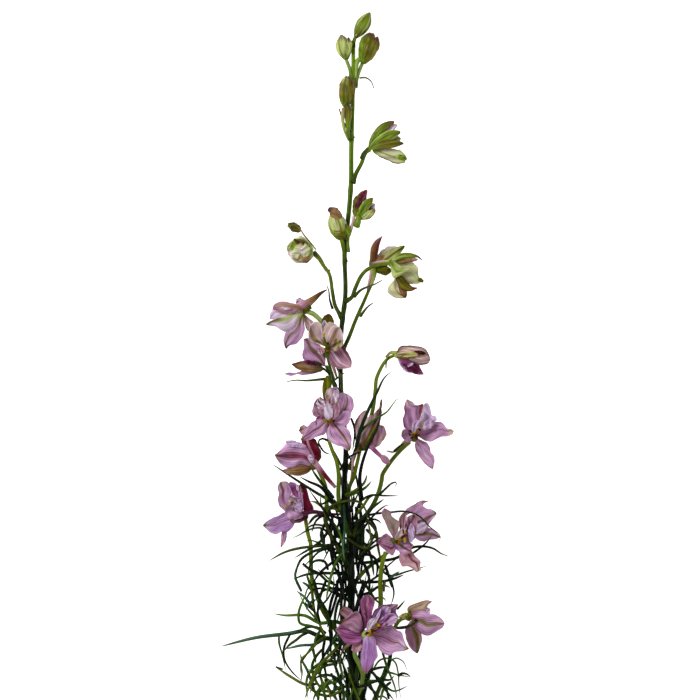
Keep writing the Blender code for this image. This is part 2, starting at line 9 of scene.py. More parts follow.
import bpy
import numpy as np
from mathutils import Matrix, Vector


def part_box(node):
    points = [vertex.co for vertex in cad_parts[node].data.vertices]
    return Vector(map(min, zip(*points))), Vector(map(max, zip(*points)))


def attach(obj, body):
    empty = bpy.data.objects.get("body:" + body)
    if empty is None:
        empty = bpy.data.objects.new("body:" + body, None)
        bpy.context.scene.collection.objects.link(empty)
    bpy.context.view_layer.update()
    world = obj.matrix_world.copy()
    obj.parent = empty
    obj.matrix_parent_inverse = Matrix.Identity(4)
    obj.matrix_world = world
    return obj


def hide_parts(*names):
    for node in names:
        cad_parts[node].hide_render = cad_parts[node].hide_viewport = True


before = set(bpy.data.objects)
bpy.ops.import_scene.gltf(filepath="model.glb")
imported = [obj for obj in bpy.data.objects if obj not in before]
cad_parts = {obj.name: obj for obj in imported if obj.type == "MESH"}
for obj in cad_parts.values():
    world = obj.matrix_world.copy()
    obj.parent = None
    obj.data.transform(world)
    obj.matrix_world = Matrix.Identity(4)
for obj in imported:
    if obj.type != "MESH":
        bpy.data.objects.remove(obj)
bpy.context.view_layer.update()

# ------------------------ main stem
# The flower stem: one green rod, thick and nearly black at the cut end and bright olive at the top,
# faintly ribbed along its length. It bows up off the table between its two ends.

MM = 0.001
STEM_LOW_CORNER = (-5.699, -22.4585, 0.1445)
# A point of the stem's middle line, and its radius there.
STEM_LINE = [
    (4.6, -22, 2.2, 2.1), (3.6, -10, 4.6, 2.1), (2.2, 5, 8.6, 2.0), (0.7, 22, 13.0, 1.9),
    (0.6, 50, 18.4, 1.7), (0.0, 85, 22.4, 1.5), (-2.7, 105, 23.6, 1.4), (-2.1, 125, 24.0, 1.3),
    (-4.5, 155, 23.6, 1.2), (-4.3, 185, 22.4, 1.2), (-2.4, 202, 21.2, 1.15), (-2.5, 228, 18.6, 1.1),
    (-1.5, 236, 17.6, 1.2), (0.5, 260, 14.0, 1.2), (0.6, 275, 12.0, 1.2), (1.3, 300, 9.0, 1.1),
    (1.7, 327, 6.6, 0.9),
]
STEM_STEPS, STEM_SIDES, STEM_RIBS, RIB_DEPTH = 260, 20, 7, 0.035
# Heights of the joints that stalks and leaves grow from, and the share and the reach of each swelling.
STEM_JOINTS = (-1, 11, 21, 57, 63, 83, 103, 116.5, 150.5, 171, 190, 196.5, 219, 223, 255, 281, 306, 311)
JOINT_SWELL, JOINT_REACH = 0.16, 1.8
# Height on the stem, and the colour of its skin there.
STEM_TINTS = [
    (-22, (22, 30, 6)), (60, (8, 14, 3)), (120, (14, 24, 2)), (165, (28, 40, 1)), (230, (56, 78, 1)),
    (290, (108, 138, 14)), (327, (120, 148, 22)),
]


def unit(v):
    """Each row scaled to length one."""
    v = np.asarray(v, float)
    return v / np.linalg.norm(v, axis=-1, keepdims=True)


def light(colour):
    """The linear light of a 0 to 255 screen colour: a power law with a short straight foot."""
    c = np.asarray(colour, float) / 255
    return np.where(c <= 0.04045, c / 12.92, ((c + 0.055) / 1.055) ** 2.4)


def place(points):
    """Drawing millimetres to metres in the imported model: scaled, then moved so that the drawn stem's low
    corner meets the corner of the real stem's box."""
    shift = np.array(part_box("main_stem")[0]) - np.array(STEM_LOW_CORNER) * MM
    return np.asarray(points, float) * MM + shift


def smooth_line(points, count):
    """Rows evenly spaced along a curve through the points: between neighbours it is the cubic whose end
    slopes are the local slopes of the whole table."""
    p = np.asarray(points, float)
    run = np.concatenate([[0], np.cumsum(np.linalg.norm(np.diff(p[:, :3], axis=0), axis=1))])
    slope = np.gradient(p, run, axis=0)
    at = np.linspace(0, run[-1], count)
    i = np.clip(np.searchsorted(run, at, side="right") - 1, 0, len(p) - 2)
    span = (run[i + 1] - run[i])[:, None]
    t = (at - run[i])[:, None] / span
    return (
        (2 * t**3 - 3 * t**2 + 1) * p[i]
        + (t**3 - 2 * t**2 + t) * span * slope[i]
        + (3 * t**2 - 2 * t**3) * p[i + 1]
        + (t**3 - t**2) * span * slope[i + 1]
    )


def tube(path, radius, tint, sides, flat=1.0, seed=0.0, ribs=0, rib_depth=0.0, axis=None):
    """A tapering rod: round each point of the path a ring of the given radius, in the plane across the path.

    The ring's first direction is the given axis, or the path's flattest one, turned square to the path.
    Radius at angle a is r (1 + rib_depth cos(ribs a)), and flat squeezes that first direction. Quads join the
    rings, and a fan of triangles closes each end."""
    path, radius = np.asarray(path, float), np.broadcast_to(radius, len(path))[:, None, None]
    run = unit(np.gradient(path, axis=0))
    axis = np.linalg.svd(path - path.mean(axis=0))[2][2] if axis is None else np.array(axis)
    first = unit(axis - run * (run @ axis)[:, None])[:, None, :]
    second = np.cross(run, first[:, 0])[:, None, :]
    around = np.linspace(0, 2 * math.pi, sides, endpoint=False)[None, :, None]
    ring = radius * (1 + rib_depth * np.cos(ribs * around))
    grid = path[:, None, :] + ring * (np.cos(around) * first * flat + np.sin(around) * second)
    rows = len(path)
    points = np.vstack([grid.reshape(-1, 3), path[:1], path[-1:]])
    i, j = np.meshgrid(np.arange(rows - 1), np.arange(sides), indexing="ij")
    k = (j + 1) % sides
    corners = [i * sides + j, i * sides + k, (i + 1) * sides + k, (i + 1) * sides + j]
    quads = np.stack(corners, -1).reshape(-1, 4)
    foot, last, j = rows * sides, (rows - 1) * sides, np.arange(sides)
    k = (j + 1) % sides
    ends = np.stack([foot + 0 * j, k, j], -1), np.stack([foot + 1 + 0 * j, last + j, last + k], -1)
    fans = np.vstack(ends)
    tints = np.broadcast_to(tint, (rows, 3))
    tints = np.vstack([np.repeat(tints, sides, axis=0), tints[:1], tints[-1:]])
    across, along = np.meshgrid(j / sides, np.linspace(0, 1, rows), indexing="xy")
    uv = np.vstack([np.stack([across, along], -1).reshape(-1, 2), [(0.5, 0), (0.5, 1)]])
    return dict(points=points, quads=quads, fans=fans, tint=tints, uv=uv, seed=seed)


def faced_out(part):
    """The part with its faces turned round if its signed volume is negative: the sum of a . (b x c) over the
    triangles a, b, c."""
    p, q = part["points"], part["quads"]
    triangles = np.vstack([q[:, [0, 1, 2]], q[:, [0, 2, 3]], part["fans"]])
    a, b, c = p[triangles[:, 0]], p[triangles[:, 1]], p[triangles[:, 2]]
    if np.einsum("ij,ij->", a, np.cross(b, c)) < 0:
        part["quads"], part["fans"] = q[:, ::-1], part["fans"][:, ::-1]
    return part


STREAK_MAP, TINT = "skin_map", "tint"


def piece(name, parts, material):
    """One smooth-shaded object from closed parts, each point carrying its colour and its streak seed."""
    parts = [faced_out(part) for part in parts]
    starts = np.concatenate([[0], np.cumsum([len(part["points"]) for part in parts])])
    quads = np.vstack([part["quads"] + start for part, start in zip(parts, starts)])
    fans = np.vstack([part["fans"] + start for part, start in zip(parts, starts)])
    points = place(np.vstack([part["points"] for part in parts]))
    corners = np.concatenate([quads.ravel(), fans.ravel()])
    sizes = np.concatenate([np.full(len(quads), 4), np.full(len(fans), 3)])
    mesh = bpy.data.meshes.new(name)
    mesh.vertices.add(len(points))
    mesh.vertices.foreach_set("co", points.astype(np.float32).ravel())
    mesh.loops.add(len(corners))
    mesh.loops.foreach_set("vertex_index", corners.astype(np.int32))
    mesh.polygons.add(len(sizes))
    mesh.polygons.foreach_set("loop_start", np.concatenate([[0], np.cumsum(sizes)[:-1]]).astype(np.int32))
    mesh.polygons.foreach_set("use_smooth", np.ones(len(sizes), bool))
    mesh.update(calc_edges=True)
    uv = np.vstack([part["uv"] for part in parts])
    mesh.uv_layers.new(name=STREAK_MAP).data.foreach_set("uv", uv[corners].astype(np.float32).ravel())
    seeds = np.concatenate([np.full(len(part["points"]), part["seed"]) for part in parts])[:, None]
    tints = np.hstack([np.clip(np.vstack([part["tint"] for part in parts]), 0, 1), seeds])
    colours = mesh.color_attributes.new(TINT, "FLOAT_COLOR", "POINT")
    colours.data.foreach_set("color", tints.astype(np.float32).ravel())
    mesh.materials.append(material)
    made = bpy.data.objects.new(name, mesh)
    bpy.context.scene.collection.objects.link(made)
    return made


def fix(made, slot, *nodes):
    """The finished piece goes with the plant's one body, in place of its CAD nodes."""
    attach(made, "root")
    if nodes:
        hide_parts(*nodes)


def set_inputs(node, values):
    """The node, with its inputs of these names set to these values."""
    for label, value in values.items():
        node.inputs[label].default_value = value
    return node


# Grain and warped veins run the length of a surface, and each counts only over part of its range. Clouds lie
# in space. SEED_STEP carries each part to a stretch of grain of its own.
GRAIN, GRAIN_RANGE = {"Scale": 1.0, "Detail": 3.0, "Roughness": 0.62}, {"From Min": 0.36, "From Max": 0.66}
VEINS, VEIN_RANGE = {"Scale": 0.3, "Distortion": 2.6, "Detail": 2.0}, {"From Min": 0.7}
CLOUDS, CLOUD_MIDDLE = {"Scale": 260.0, "Detail": 4.0}, 0.5
GRAIN_SHARE, VEIN_SHARE, SEED_STEP = 0.45, 0.65, 37.0


def streaks_group():
    """A node group: streaks and veins that run the length of a surface, from noise and warped bands
    stretched along its own map, and soft blotches from noise in space. It deepens the given colour by them,
    raising it to a power as thicker pigment would, and puts out the streaks as a height."""
    group = bpy.data.node_groups.new("skin_streaks", "ShaderNodeTree")
    group.interface.new_socket("Color", in_out="INPUT", socket_type="NodeSocketColor")
    for label in ("Shift", "Across", "Along", "Depth", "Blotch"):
        group.interface.new_socket(label, in_out="INPUT", socket_type="NodeSocketFloat")
    group.interface.new_socket("Color", in_out="OUTPUT", socket_type="NodeSocketColor")
    group.interface.new_socket("Height", in_out="OUTPUT", socket_type="NodeSocketFloat")
    add, join = group.nodes.new, group.links.new
    given, result = add("NodeGroupInput"), add("NodeGroupOutput")

    def sum_of(operation, a, b):
        """The output of one Math node on two sockets or numbers."""
        node = add("ShaderNodeMath")
        node.operation = operation
        for socket, value in zip(node.inputs, (a, b)):
            if isinstance(value, float):
                socket.default_value = value
            else:
                join(value, socket)
        return node.outputs[0]

    own, split, spread = add("ShaderNodeUVMap"), add("ShaderNodeSeparateXYZ"), add("ShaderNodeCombineXYZ")
    own.uv_map = STREAK_MAP
    join(own.outputs["UV"], split.inputs[0])
    join(sum_of("MULTIPLY", split.outputs[0], given.outputs["Across"]), spread.inputs[0])
    join(sum_of("MULTIPLY", split.outputs[1], given.outputs["Along"]), spread.inputs[1])
    join(sum_of("MULTIPLY", given.outputs["Shift"], SEED_STEP), spread.inputs[2])
    grain, veins = set_inputs(add("ShaderNodeTexNoise"), GRAIN), set_inputs(add("ShaderNodeTexWave"), VEINS)
    grain_part = set_inputs(add("ShaderNodeMapRange"), GRAIN_RANGE)
    vein_part = set_inputs(add("ShaderNodeMapRange"), VEIN_RANGE)
    join(spread.outputs[0], grain.inputs["Vector"])
    join(grain.outputs[0], grain_part.inputs["Value"])
    join(spread.outputs[0], veins.inputs["Vector"])
    join(veins.outputs["Fac"], vein_part.inputs["Value"])
    space, clouds = add("ShaderNodeTexCoord"), set_inputs(add("ShaderNodeTexNoise"), CLOUDS)
    join(space.outputs["Object"], clouds.inputs["Vector"])
    grain_height = sum_of("MULTIPLY", grain_part.outputs[0], GRAIN_SHARE)
    height = sum_of("ADD", grain_height, sum_of("MULTIPLY", vein_part.outputs[0], VEIN_SHARE))
    cloudy = sum_of("MULTIPLY", sum_of("SUBTRACT", clouds.outputs[0], CLOUD_MIDDLE), given.outputs["Blotch"])
    pigment = sum_of("ADD", sum_of("MULTIPLY", height, given.outputs["Depth"]), cloudy)
    paint = add("ShaderNodeGamma")
    join(given.outputs["Color"], paint.inputs["Color"])
    join(sum_of("ADD", pigment, 1.0), paint.inputs["Gamma"])
    join(paint.outputs[0], result.inputs["Color"])
    join(height, result.inputs["Height"])
    return group


STREAKS = streaks_group()
SMOOTHER, ROUGHER, RELIEF_DEPTH = 0.08, 0.1, 0.0003


def plant_skin(name, across, along, depth, blotch, rough, bump, specular=0.1):
    """A material for one kind of plant skin: the point colours, streaked and blotched, with the streaks also
    a fine relief. across and along are how many streaks fit on the surface's map each way."""
    made = bpy.data.materials.new(name)
    made.use_nodes = True
    nodes, join = made.node_tree.nodes, made.node_tree.links.new
    shader = set_inputs(nodes["Principled BSDF"], {"Specular IOR Level": specular})
    tint = nodes.new("ShaderNodeAttribute")
    tint.attribute_name = TINT
    streaks = nodes.new("ShaderNodeGroup")
    streaks.node_tree = STREAKS
    set_inputs(streaks, {"Across": across, "Along": along, "Depth": depth, "Blotch": blotch})
    join(tint.outputs["Color"], streaks.inputs["Color"])
    join(tint.outputs["Alpha"], streaks.inputs["Shift"])
    join(streaks.outputs["Color"], shader.inputs["Base Color"])
    gloss = nodes.new("ShaderNodeMapRange")
    set_inputs(gloss, {"To Min": rough - SMOOTHER, "To Max": rough + ROUGHER})
    join(streaks.outputs["Height"], gloss.inputs["Value"])
    join(gloss.outputs[0], shader.inputs["Roughness"])
    relief = set_inputs(nodes.new("ShaderNodeBump"), {"Strength": bump, "Distance": RELIEF_DEPTH})
    relief.invert = True
    join(streaks.outputs["Height"], relief.inputs["Height"])
    join(relief.outputs[0], shader.inputs["Normal"])
    return made


def stem_tint(y):
    """Skin colour of the stem at each height, between the rows of its table."""
    heights = [row[0] for row in STEM_TINTS]
    shades = light([row[1] for row in STEM_TINTS])
    return np.stack([np.interp(y, heights, shades[:, i]) for i in range(3)], -1)


def stem_at(y):
    """Axis point of the stem at a height, from its table."""
    table = np.array(STEM_LINE)
    return np.array([np.interp(y, table[:, 1], table[:, 0]), y, np.interp(y, table[:, 1], table[:, 2])])


stem_skin = plant_skin("stem_skin", across=5, along=70, depth=0.45, blotch=0.5, rough=0.42, bump=0.35)
stem_rows = smooth_line(STEM_LINE, STEM_STEPS)
swelling = sum(np.exp(-(((stem_rows[:, 1] - y) / JOINT_REACH) ** 2)) for y in STEM_JOINTS)
stem_radius = stem_rows[:, 3] * (1 + JOINT_SWELL * np.minimum(swelling, 1))
stem_tints = stem_tint(stem_rows[:, 1])
stem_rod = tube(stem_rows[:, :3], stem_radius, stem_tints, STEM_SIDES, ribs=STEM_RIBS, rib_depth=RIB_DEPTH)
fix(piece("flower_stem", [stem_rod], stem_skin), "stem", "main_stem")

# ------------------------ flower stalks
# Each bud and flower hangs on its own thin stalk, which leaves the stem at a small joint and curves up and
# out. They are olive green, brighter than the stem, and a little swollen where they meet it.

DEEP_STALK = [(52, 70, 4), (86, 106, 8), (114, 132, 24)]
PALE_STALK = [(96, 118, 40), (122, 146, 70), (150, 168, 96)]
ROD_SIDES, ROD_STEP, ROD_LEAST = 10, 1.2, 6
FOOT_SWELL, FOOT_REACH = 0.5, 2.2
# Stalk: colours, radius at the stem and at the flower, height at each, then the line's x and y in turn.
STALKS = {
    1: (DEEP_STALK, 0.85, 1, 6.4, 6, [1.5, 327, 1.8, 329.5, 2.6, 332]),
    2: (PALE_STALK, 1.1, 0.9, 8, 7.4, [0.8, 311, 0.2, 315, -2, 321]),
    3: (PALE_STALK, 1.2, 0.9, 7.8, 4.8, [2.2, 307, 4.5, 315, 6.1, 318.8]),
    4: (PALE_STALK, 1.3, 0.9, 11.6, 14.8, [0.8, 281, -1.8, 291.5, -2.6, 296.5]),
    5: (DEEP_STALK, 1.2, 0.95, 14.6, 12.8, [1.2, 258.5, 3, 263.4, 5.5, 268.1, 8.4, 274.5, 10, 276]),
    6: (PALE_STALK, 1, 0.8, 19, 21, [-1.2, 224, -0.8, 232.3, 1, 237.5, 2.8, 240.8]),
    7: (DEEP_STALK, 0.9, 1.2, 19.6, 21.4, [-2.3, 219, -3.2, 225.5, -4.3, 231]),
    8: (DEEP_STALK, 1.05, 0.8, 22, 14.6, [-4.1, 191, -7.5, 197.5, -8.8, 204.2, -10.6, 213.5, -14.2, 218.5,
        -17.7, 224.3]),
    9: (DEEP_STALK, 1.1, 0.8, 22.6, 8.4, [-4, 174, -0.8, 180.7, 2.5, 189.2, 8.5, 202.8, 12.6, 213.1,
        13, 215]),
    10: (DEEP_STALK, 1.1, 0.95, 22, 24, [-3, 199, 1, 201.5, 2.3, 205, 7.7, 214.5, 11.2, 216.7, 20.3, 218.5]),
    11: (PALE_STALK, 1, 1.3, 21.6, 10.4, [-5, 172, -9.5, 183, -14.5, 189.6, -18.8, 193.3, -22.2, 194.5]),
    12: (DEEP_STALK, 1.1, 0.9, 24, 32.6, [-5.5, 152, -8.7, 159.3, -11.8, 167]),
    13: (DEEP_STALK, 1.2, 0.85, 24, 24.8, [-0.5, 115, 6, 132.5, 10.3, 141.2, 12.7, 155.2, 13.2, 160.5,
        14.5, 164, 19.8, 171.3, 23.3, 172.7]),
    14: (DEEP_STALK, 1.25, 1, 22, 8.6, [1, 81.5, 5, 88.5, 11.4, 97.2, 15.9, 110, 16.2, 112.3, 18.3, 115.9,
        26, 125.3, 30, 128.8]),
    15: (DEEP_STALK, 1.1, 0.9, 23.4, 31, [-1.5, 101.5, 0.2, 108, 1.7, 111, 3, 116.2, 5.3, 126.3]),
    16: (DEEP_STALK, 1.3, 0.95, 22.4, 33, [0, 82, -5.6, 100, -5.8, 114.5, -6.8, 119.7, -8.9, 125,
        -10.6, 129.8]),
    17: (DEEP_STALK, 1.3, 1, 19.6, 17.4, [0.5, 63, -6, 76, -11, 85.5, -12.5, 91.5, -11.9, 95.6, -13.1, 109.1,
        -14.5, 112, -16.7, 116.7]),
    18: (DEEP_STALK, 1.3, 1, 13, 8.2, [1, 21, -6, 33, -14, 45, -17, 53, -19, 60, -19.6, 70, -19.8, 77.7,
        -21.1, 82.7, -22.5, 91]),
    19: (DEEP_STALK, 1.5, 1.1, 10.4, 26, [2, 11, 9, 27, 13.5, 37.5, 15.3, 47.5, 15.2, 60, 16.2, 68.5,
        17.8, 74]),
    20: (DEEP_STALK, 1.1, 0.8, 19.4, 8.8, [1, 57, 8, 65, 17, 72, 25, 78.5, 31, 84]),
    21: (PALE_STALK, 1.2, 1.1, 7, 29, [2.5, -1, 5.5, 6.5, 6.5, 12, 4.8, 17.5, 2.6, 22, 3, 27.5, 5.5, 31]),
    22: (DEEP_STALK, 1.2, 1, 4, 8.2, [3.5, -14, 12, -1, 16.2, 8.6, 19.8, 18.5, 20.5, 25, 21.3, 32, 26, 40,
        29.3, 40.8]),
}


def shades_along(colours, count):
    """Light values passing evenly through the colours from end to end."""
    table = light(colours)
    at = np.linspace(0, 1, count)
    stops = np.linspace(0, 1, len(table))
    return np.stack([np.interp(at, stops, table[:, i]) for i in range(3)], -1)


def rod(line, start, end, colours, sides=ROD_SIDES, seed=0.0, swell=0.0):
    """A tube on a smooth line through the points, its radius passing from start to end, and swollen at the
    foot by a bell of the length."""
    line = np.asarray(line, float)
    length = np.linalg.norm(np.diff(line, axis=0), axis=1).sum()
    count = max(int(length / ROD_STEP), ROD_LEAST)
    path = smooth_line(line, count)
    at = np.linspace(0, 1, count)
    radius = (start + (end - start) * at) * (1 + swell * np.exp(-((at * length / FOOT_REACH) ** 2)))
    return tube(path, radius, shades_along(colours, count), sides, seed=seed)


def raised(line, low, high):
    """A flat line, given as x, y, x, y and so on, with heights that pass from low to high along its run."""
    flat = np.reshape(np.asarray(line, float), (-1, 2))
    run = np.concatenate([[0], np.cumsum(np.linalg.norm(np.diff(flat, axis=0), axis=1))])
    return np.column_stack([flat, low + (high - low) * run / run[-1]])


stalk_skin = plant_skin("stalk_skin", across=4, along=16, depth=0.4, blotch=0.4, rough=0.42, bump=0.3)
for number, (colours, start, end, low, high, line) in STALKS.items():
    stalk = rod(raised(line, low, high), start, end, colours, seed=number / len(STALKS), swell=FOOT_SWELL)
    fix(piece(f"flower_stalk_{number:02d}", [stalk], stalk_skin), "stalk", f"stalk_{number:02d}")

# ------------------------ buds
# Closed flower buds near the top: five thick green sepals rolled over each other round a hidden core, with
# maroon tips and paler edges, and a short hollow spur behind some of them.

PAINT = {
    "lilac": (208, 170, 204), "lavender": (222, 200, 230), "violet": (190, 150, 202),
    "mauve": (188, 146, 168), "rose": (206, 166, 178), "blush": (220, 196, 198), "magenta": (170, 100, 150),
    "purple": (158, 108, 166), "plum": (104, 40, 76), "crimson": (128, 26, 62), "maroon": (92, 26, 42),
    "brown": (112, 74, 48), "tan": (156, 124, 82), "beige": (194, 172, 150), "cream": (214, 204, 154),
    "white": (232, 216, 234), "olive": (122, 118, 16), "moss": (84, 88, 4), "green": (122, 148, 18),
    "leaf": (96, 122, 18), "pale": (190, 202, 128), "dark": (48, 26, 20), "orange": (178, 84, 60),
    "ash": (180, 164, 158), "ivory": (210, 210, 172),
}
PETAL_ROWS, PETAL_COLUMNS, PETAL_THICK = 33, 25, 0.18


def smooth_step(low, high, x):
    """0 below low, 1 above high, and a cubic ease between."""
    t = np.clip((x - low) / (high - low), 0, 1)
    return t * t * (3 - 2 * t)


def midline(base, tip, v, look, arch, sway, twist):
    """A petal's middle line and the directions across it, up from it and sideways to the whole petal.

    The line is a quadratic curve from base to tip, its middle moved sideways by sway and back from look by
    arch. The first two directions turn about it by twist times v."""
    along, look = unit(tip - base), np.asarray(look, float)
    normal = unit(look - along * (along @ look))
    side = np.cross(along, normal)
    middle = (base + tip) / 2 + side * sway - normal * arch
    line = base * (1 - v) ** 2 + 2 * middle * v * (1 - v) + tip * v**2
    run = unit(2 * (1 - v) * (middle - base) + 2 * v * (tip - middle))
    across = unit(np.cross(run, normal))
    up, turn = np.cross(across, run), twist * v
    return line, across * np.cos(turn) + up * np.sin(turn), up * np.cos(turn) - across * np.sin(turn), side


# How far beside the foot a drawn edge starts, and the share of that at which it ends beside the tip.
EDGE_FOOT, EDGE_TIP = 0.4, 0.3


def drawn_edges(base, tip, side, edges):
    """The left and right edge: smooth lines from beside the foot through their points to beside the tip."""
    lines = []
    for way, edge in zip((-EDGE_FOOT, EDGE_FOOT), edges):
        first, last = base[:2] + way * side[:2], tip[:2] + EDGE_TIP * way * side[:2]
        lines.append(smooth_line(np.vstack([first, np.reshape(edge, (-1, 2)), last]), PETAL_ROWS))
    return lines


def thin_shell(grid, thick):
    """Points and faces of a closed shell: the grid moved half the thickness out and in along its own
    normals, with the two sheets joined by a hem of quads round their edge."""
    rows, columns = grid.shape[:2]
    slope_v, slope_u = np.gradient(grid, axis=0), np.gradient(grid, axis=1)
    out = np.cross(slope_u, slope_v)
    out /= np.maximum(np.linalg.norm(out, axis=-1, keepdims=True), 1e-9)
    points = np.concatenate([grid + out * thick / 2, grid - out * thick / 2]).reshape(-1, 3)
    size = rows * columns
    index = np.arange(size).reshape(rows, columns)
    top = np.stack([index[:-1, :-1], index[:-1, 1:], index[1:, 1:], index[1:, :-1]], -1).reshape(-1, 4)
    edge = np.concatenate([index[0], index[1:, -1], index[-1, -2::-1], index[-2:0:-1, 0]])
    after = np.roll(edge, -1)
    hem = np.stack([edge, edge + size, after + size, after], -1)
    return points, np.vstack([top, top[:, ::-1] + size, hem])


def blend(under, over, share):
    """One colour laid over another by a share from 0 to 1 at each point."""
    return under + (over - under) * share[..., None]


# Where along a petal each colour comes in, and how strongly the painted details cover what is under them.
BODY_IN, TIP_IN, END_IN, RIB_TURN = (0.04, 0.36), (0.66, 0.98), (0.84, 0.97), (0.3, 0.8)
STRIPES_IN, STRIPES_OUT, RIM_IN = (0.05, 0.2), (0.6, 0.9), (0.55, 0.95)
FADE_COVER, RIM_COVER, STRIPE_COVER, END_COVER, RIB_COVER = 0.4, 0.85, 0.38, 0.85, 0.9
FLAT_SHADE, FOLD_SHADE, FOLD_LIMIT = 0.95, 0.13, 1.6
WORN_WAVES, STRIPES = 1.3, 2.5


def petal_tint(u, v, folds, phase, paints, fade="tan", end=None, lines=None, rib=None, rib_at=0.0,
               rib_width=0.09, rim=None, rim_side=0):
    """Light values over a petal: the foot, body and tip paints, eased into each other along v and shaded by
    the folds, with fade worn in along the edges in sine patches and at the tip. Over them lie the rim, on
    both sides or on rim_side; lines, which are stripes from the foot, the positive halves of a cosine of u;
    the very end; and the rib, a bell across u round rib_at whose colour may change along v."""
    foot_paint, body_paint, tip_paint = (light(PAINT[name]) for name in paints.split())
    tint = blend(foot_paint, body_paint, smooth_step(*BODY_IN, v))
    tint = blend(tint, tip_paint, smooth_step(*TIP_IN, v))
    tint = tint * (FLAT_SHADE + FOLD_SHADE * np.clip(folds, -FOLD_LIMIT, FOLD_LIMIT))[..., None]
    patches = 0.5 + 0.5 * np.sin(2 * np.pi * WORN_WAVES * v + phase[10] + np.sign(u))
    worn = smooth_step(0.45, 1, np.abs(u)) * patches
    worn = np.clip(worn * smooth_step(0.1, 0.6, v) + 0.7 * smooth_step(0.86, 1, v), 0, 1)
    tint = blend(tint, light(PAINT[fade]), FADE_COVER * worn)
    if rim:
        sides = np.clip(u * rim_side, 0, 1) if rim_side else np.abs(u)
        tint = blend(tint, light(PAINT[rim]), RIM_COVER * smooth_step(*RIM_IN, sides))
    if lines:
        stripes = np.clip(np.cos(2 * np.pi * (STRIPES * u + 0.25 * np.sin(3 * v + phase[11]))), 0, 1) ** 2
        cover = STRIPE_COVER * stripes * smooth_step(*STRIPES_IN, v) * (1 - smooth_step(*STRIPES_OUT, v))
        tint = blend(tint, light(PAINT[lines]), cover)
    if end:
        tint = blend(tint, light(PAINT[end]), END_COVER * smooth_step(*END_IN, v))
    if rib:
        rib_paints = light([PAINT[name] for name in rib.split()])
        rib_tint = rib_paints[0] + (rib_paints[-1] - rib_paints[0]) * smooth_step(*RIB_TURN, v)
        bell = np.exp(-(((u - rib_at) / rib_width) ** 2) ** 1.5)
        tint = blend(tint, rib_tint[:, None, :], RIB_COVER * bell * smooth_step(0, 0.1, v))
    return tint


# Powers that close a petal's outline at the tip, and sizes of the small shapes on it: slow waves and nicks of
# the edge, ruffles that grow to the edge, four soft folds, pleats down the length and the middle crease.
CLOSE_INNER, CLOSE_OUTER = 1.8, 0.75
EDGE_WAVES, EDGE_WAVE, NICK_WAVES, NICK, DRAWN_NICK = (1.7, 2.1), 0.22, 5.3, 0.1, 0.07
RUFFLE_POWER, FOLD_COUNT, FOLDS_ACROSS, FOLDS_ALONG, FOLD = 1.6, 4, (0.3, 1.3), (0.6, 2.6), 0.6
PLEATS, PLEAT, CREASE_WIDTH, FREE_FROM = 2.5, 0.22, 0.14, 0.35


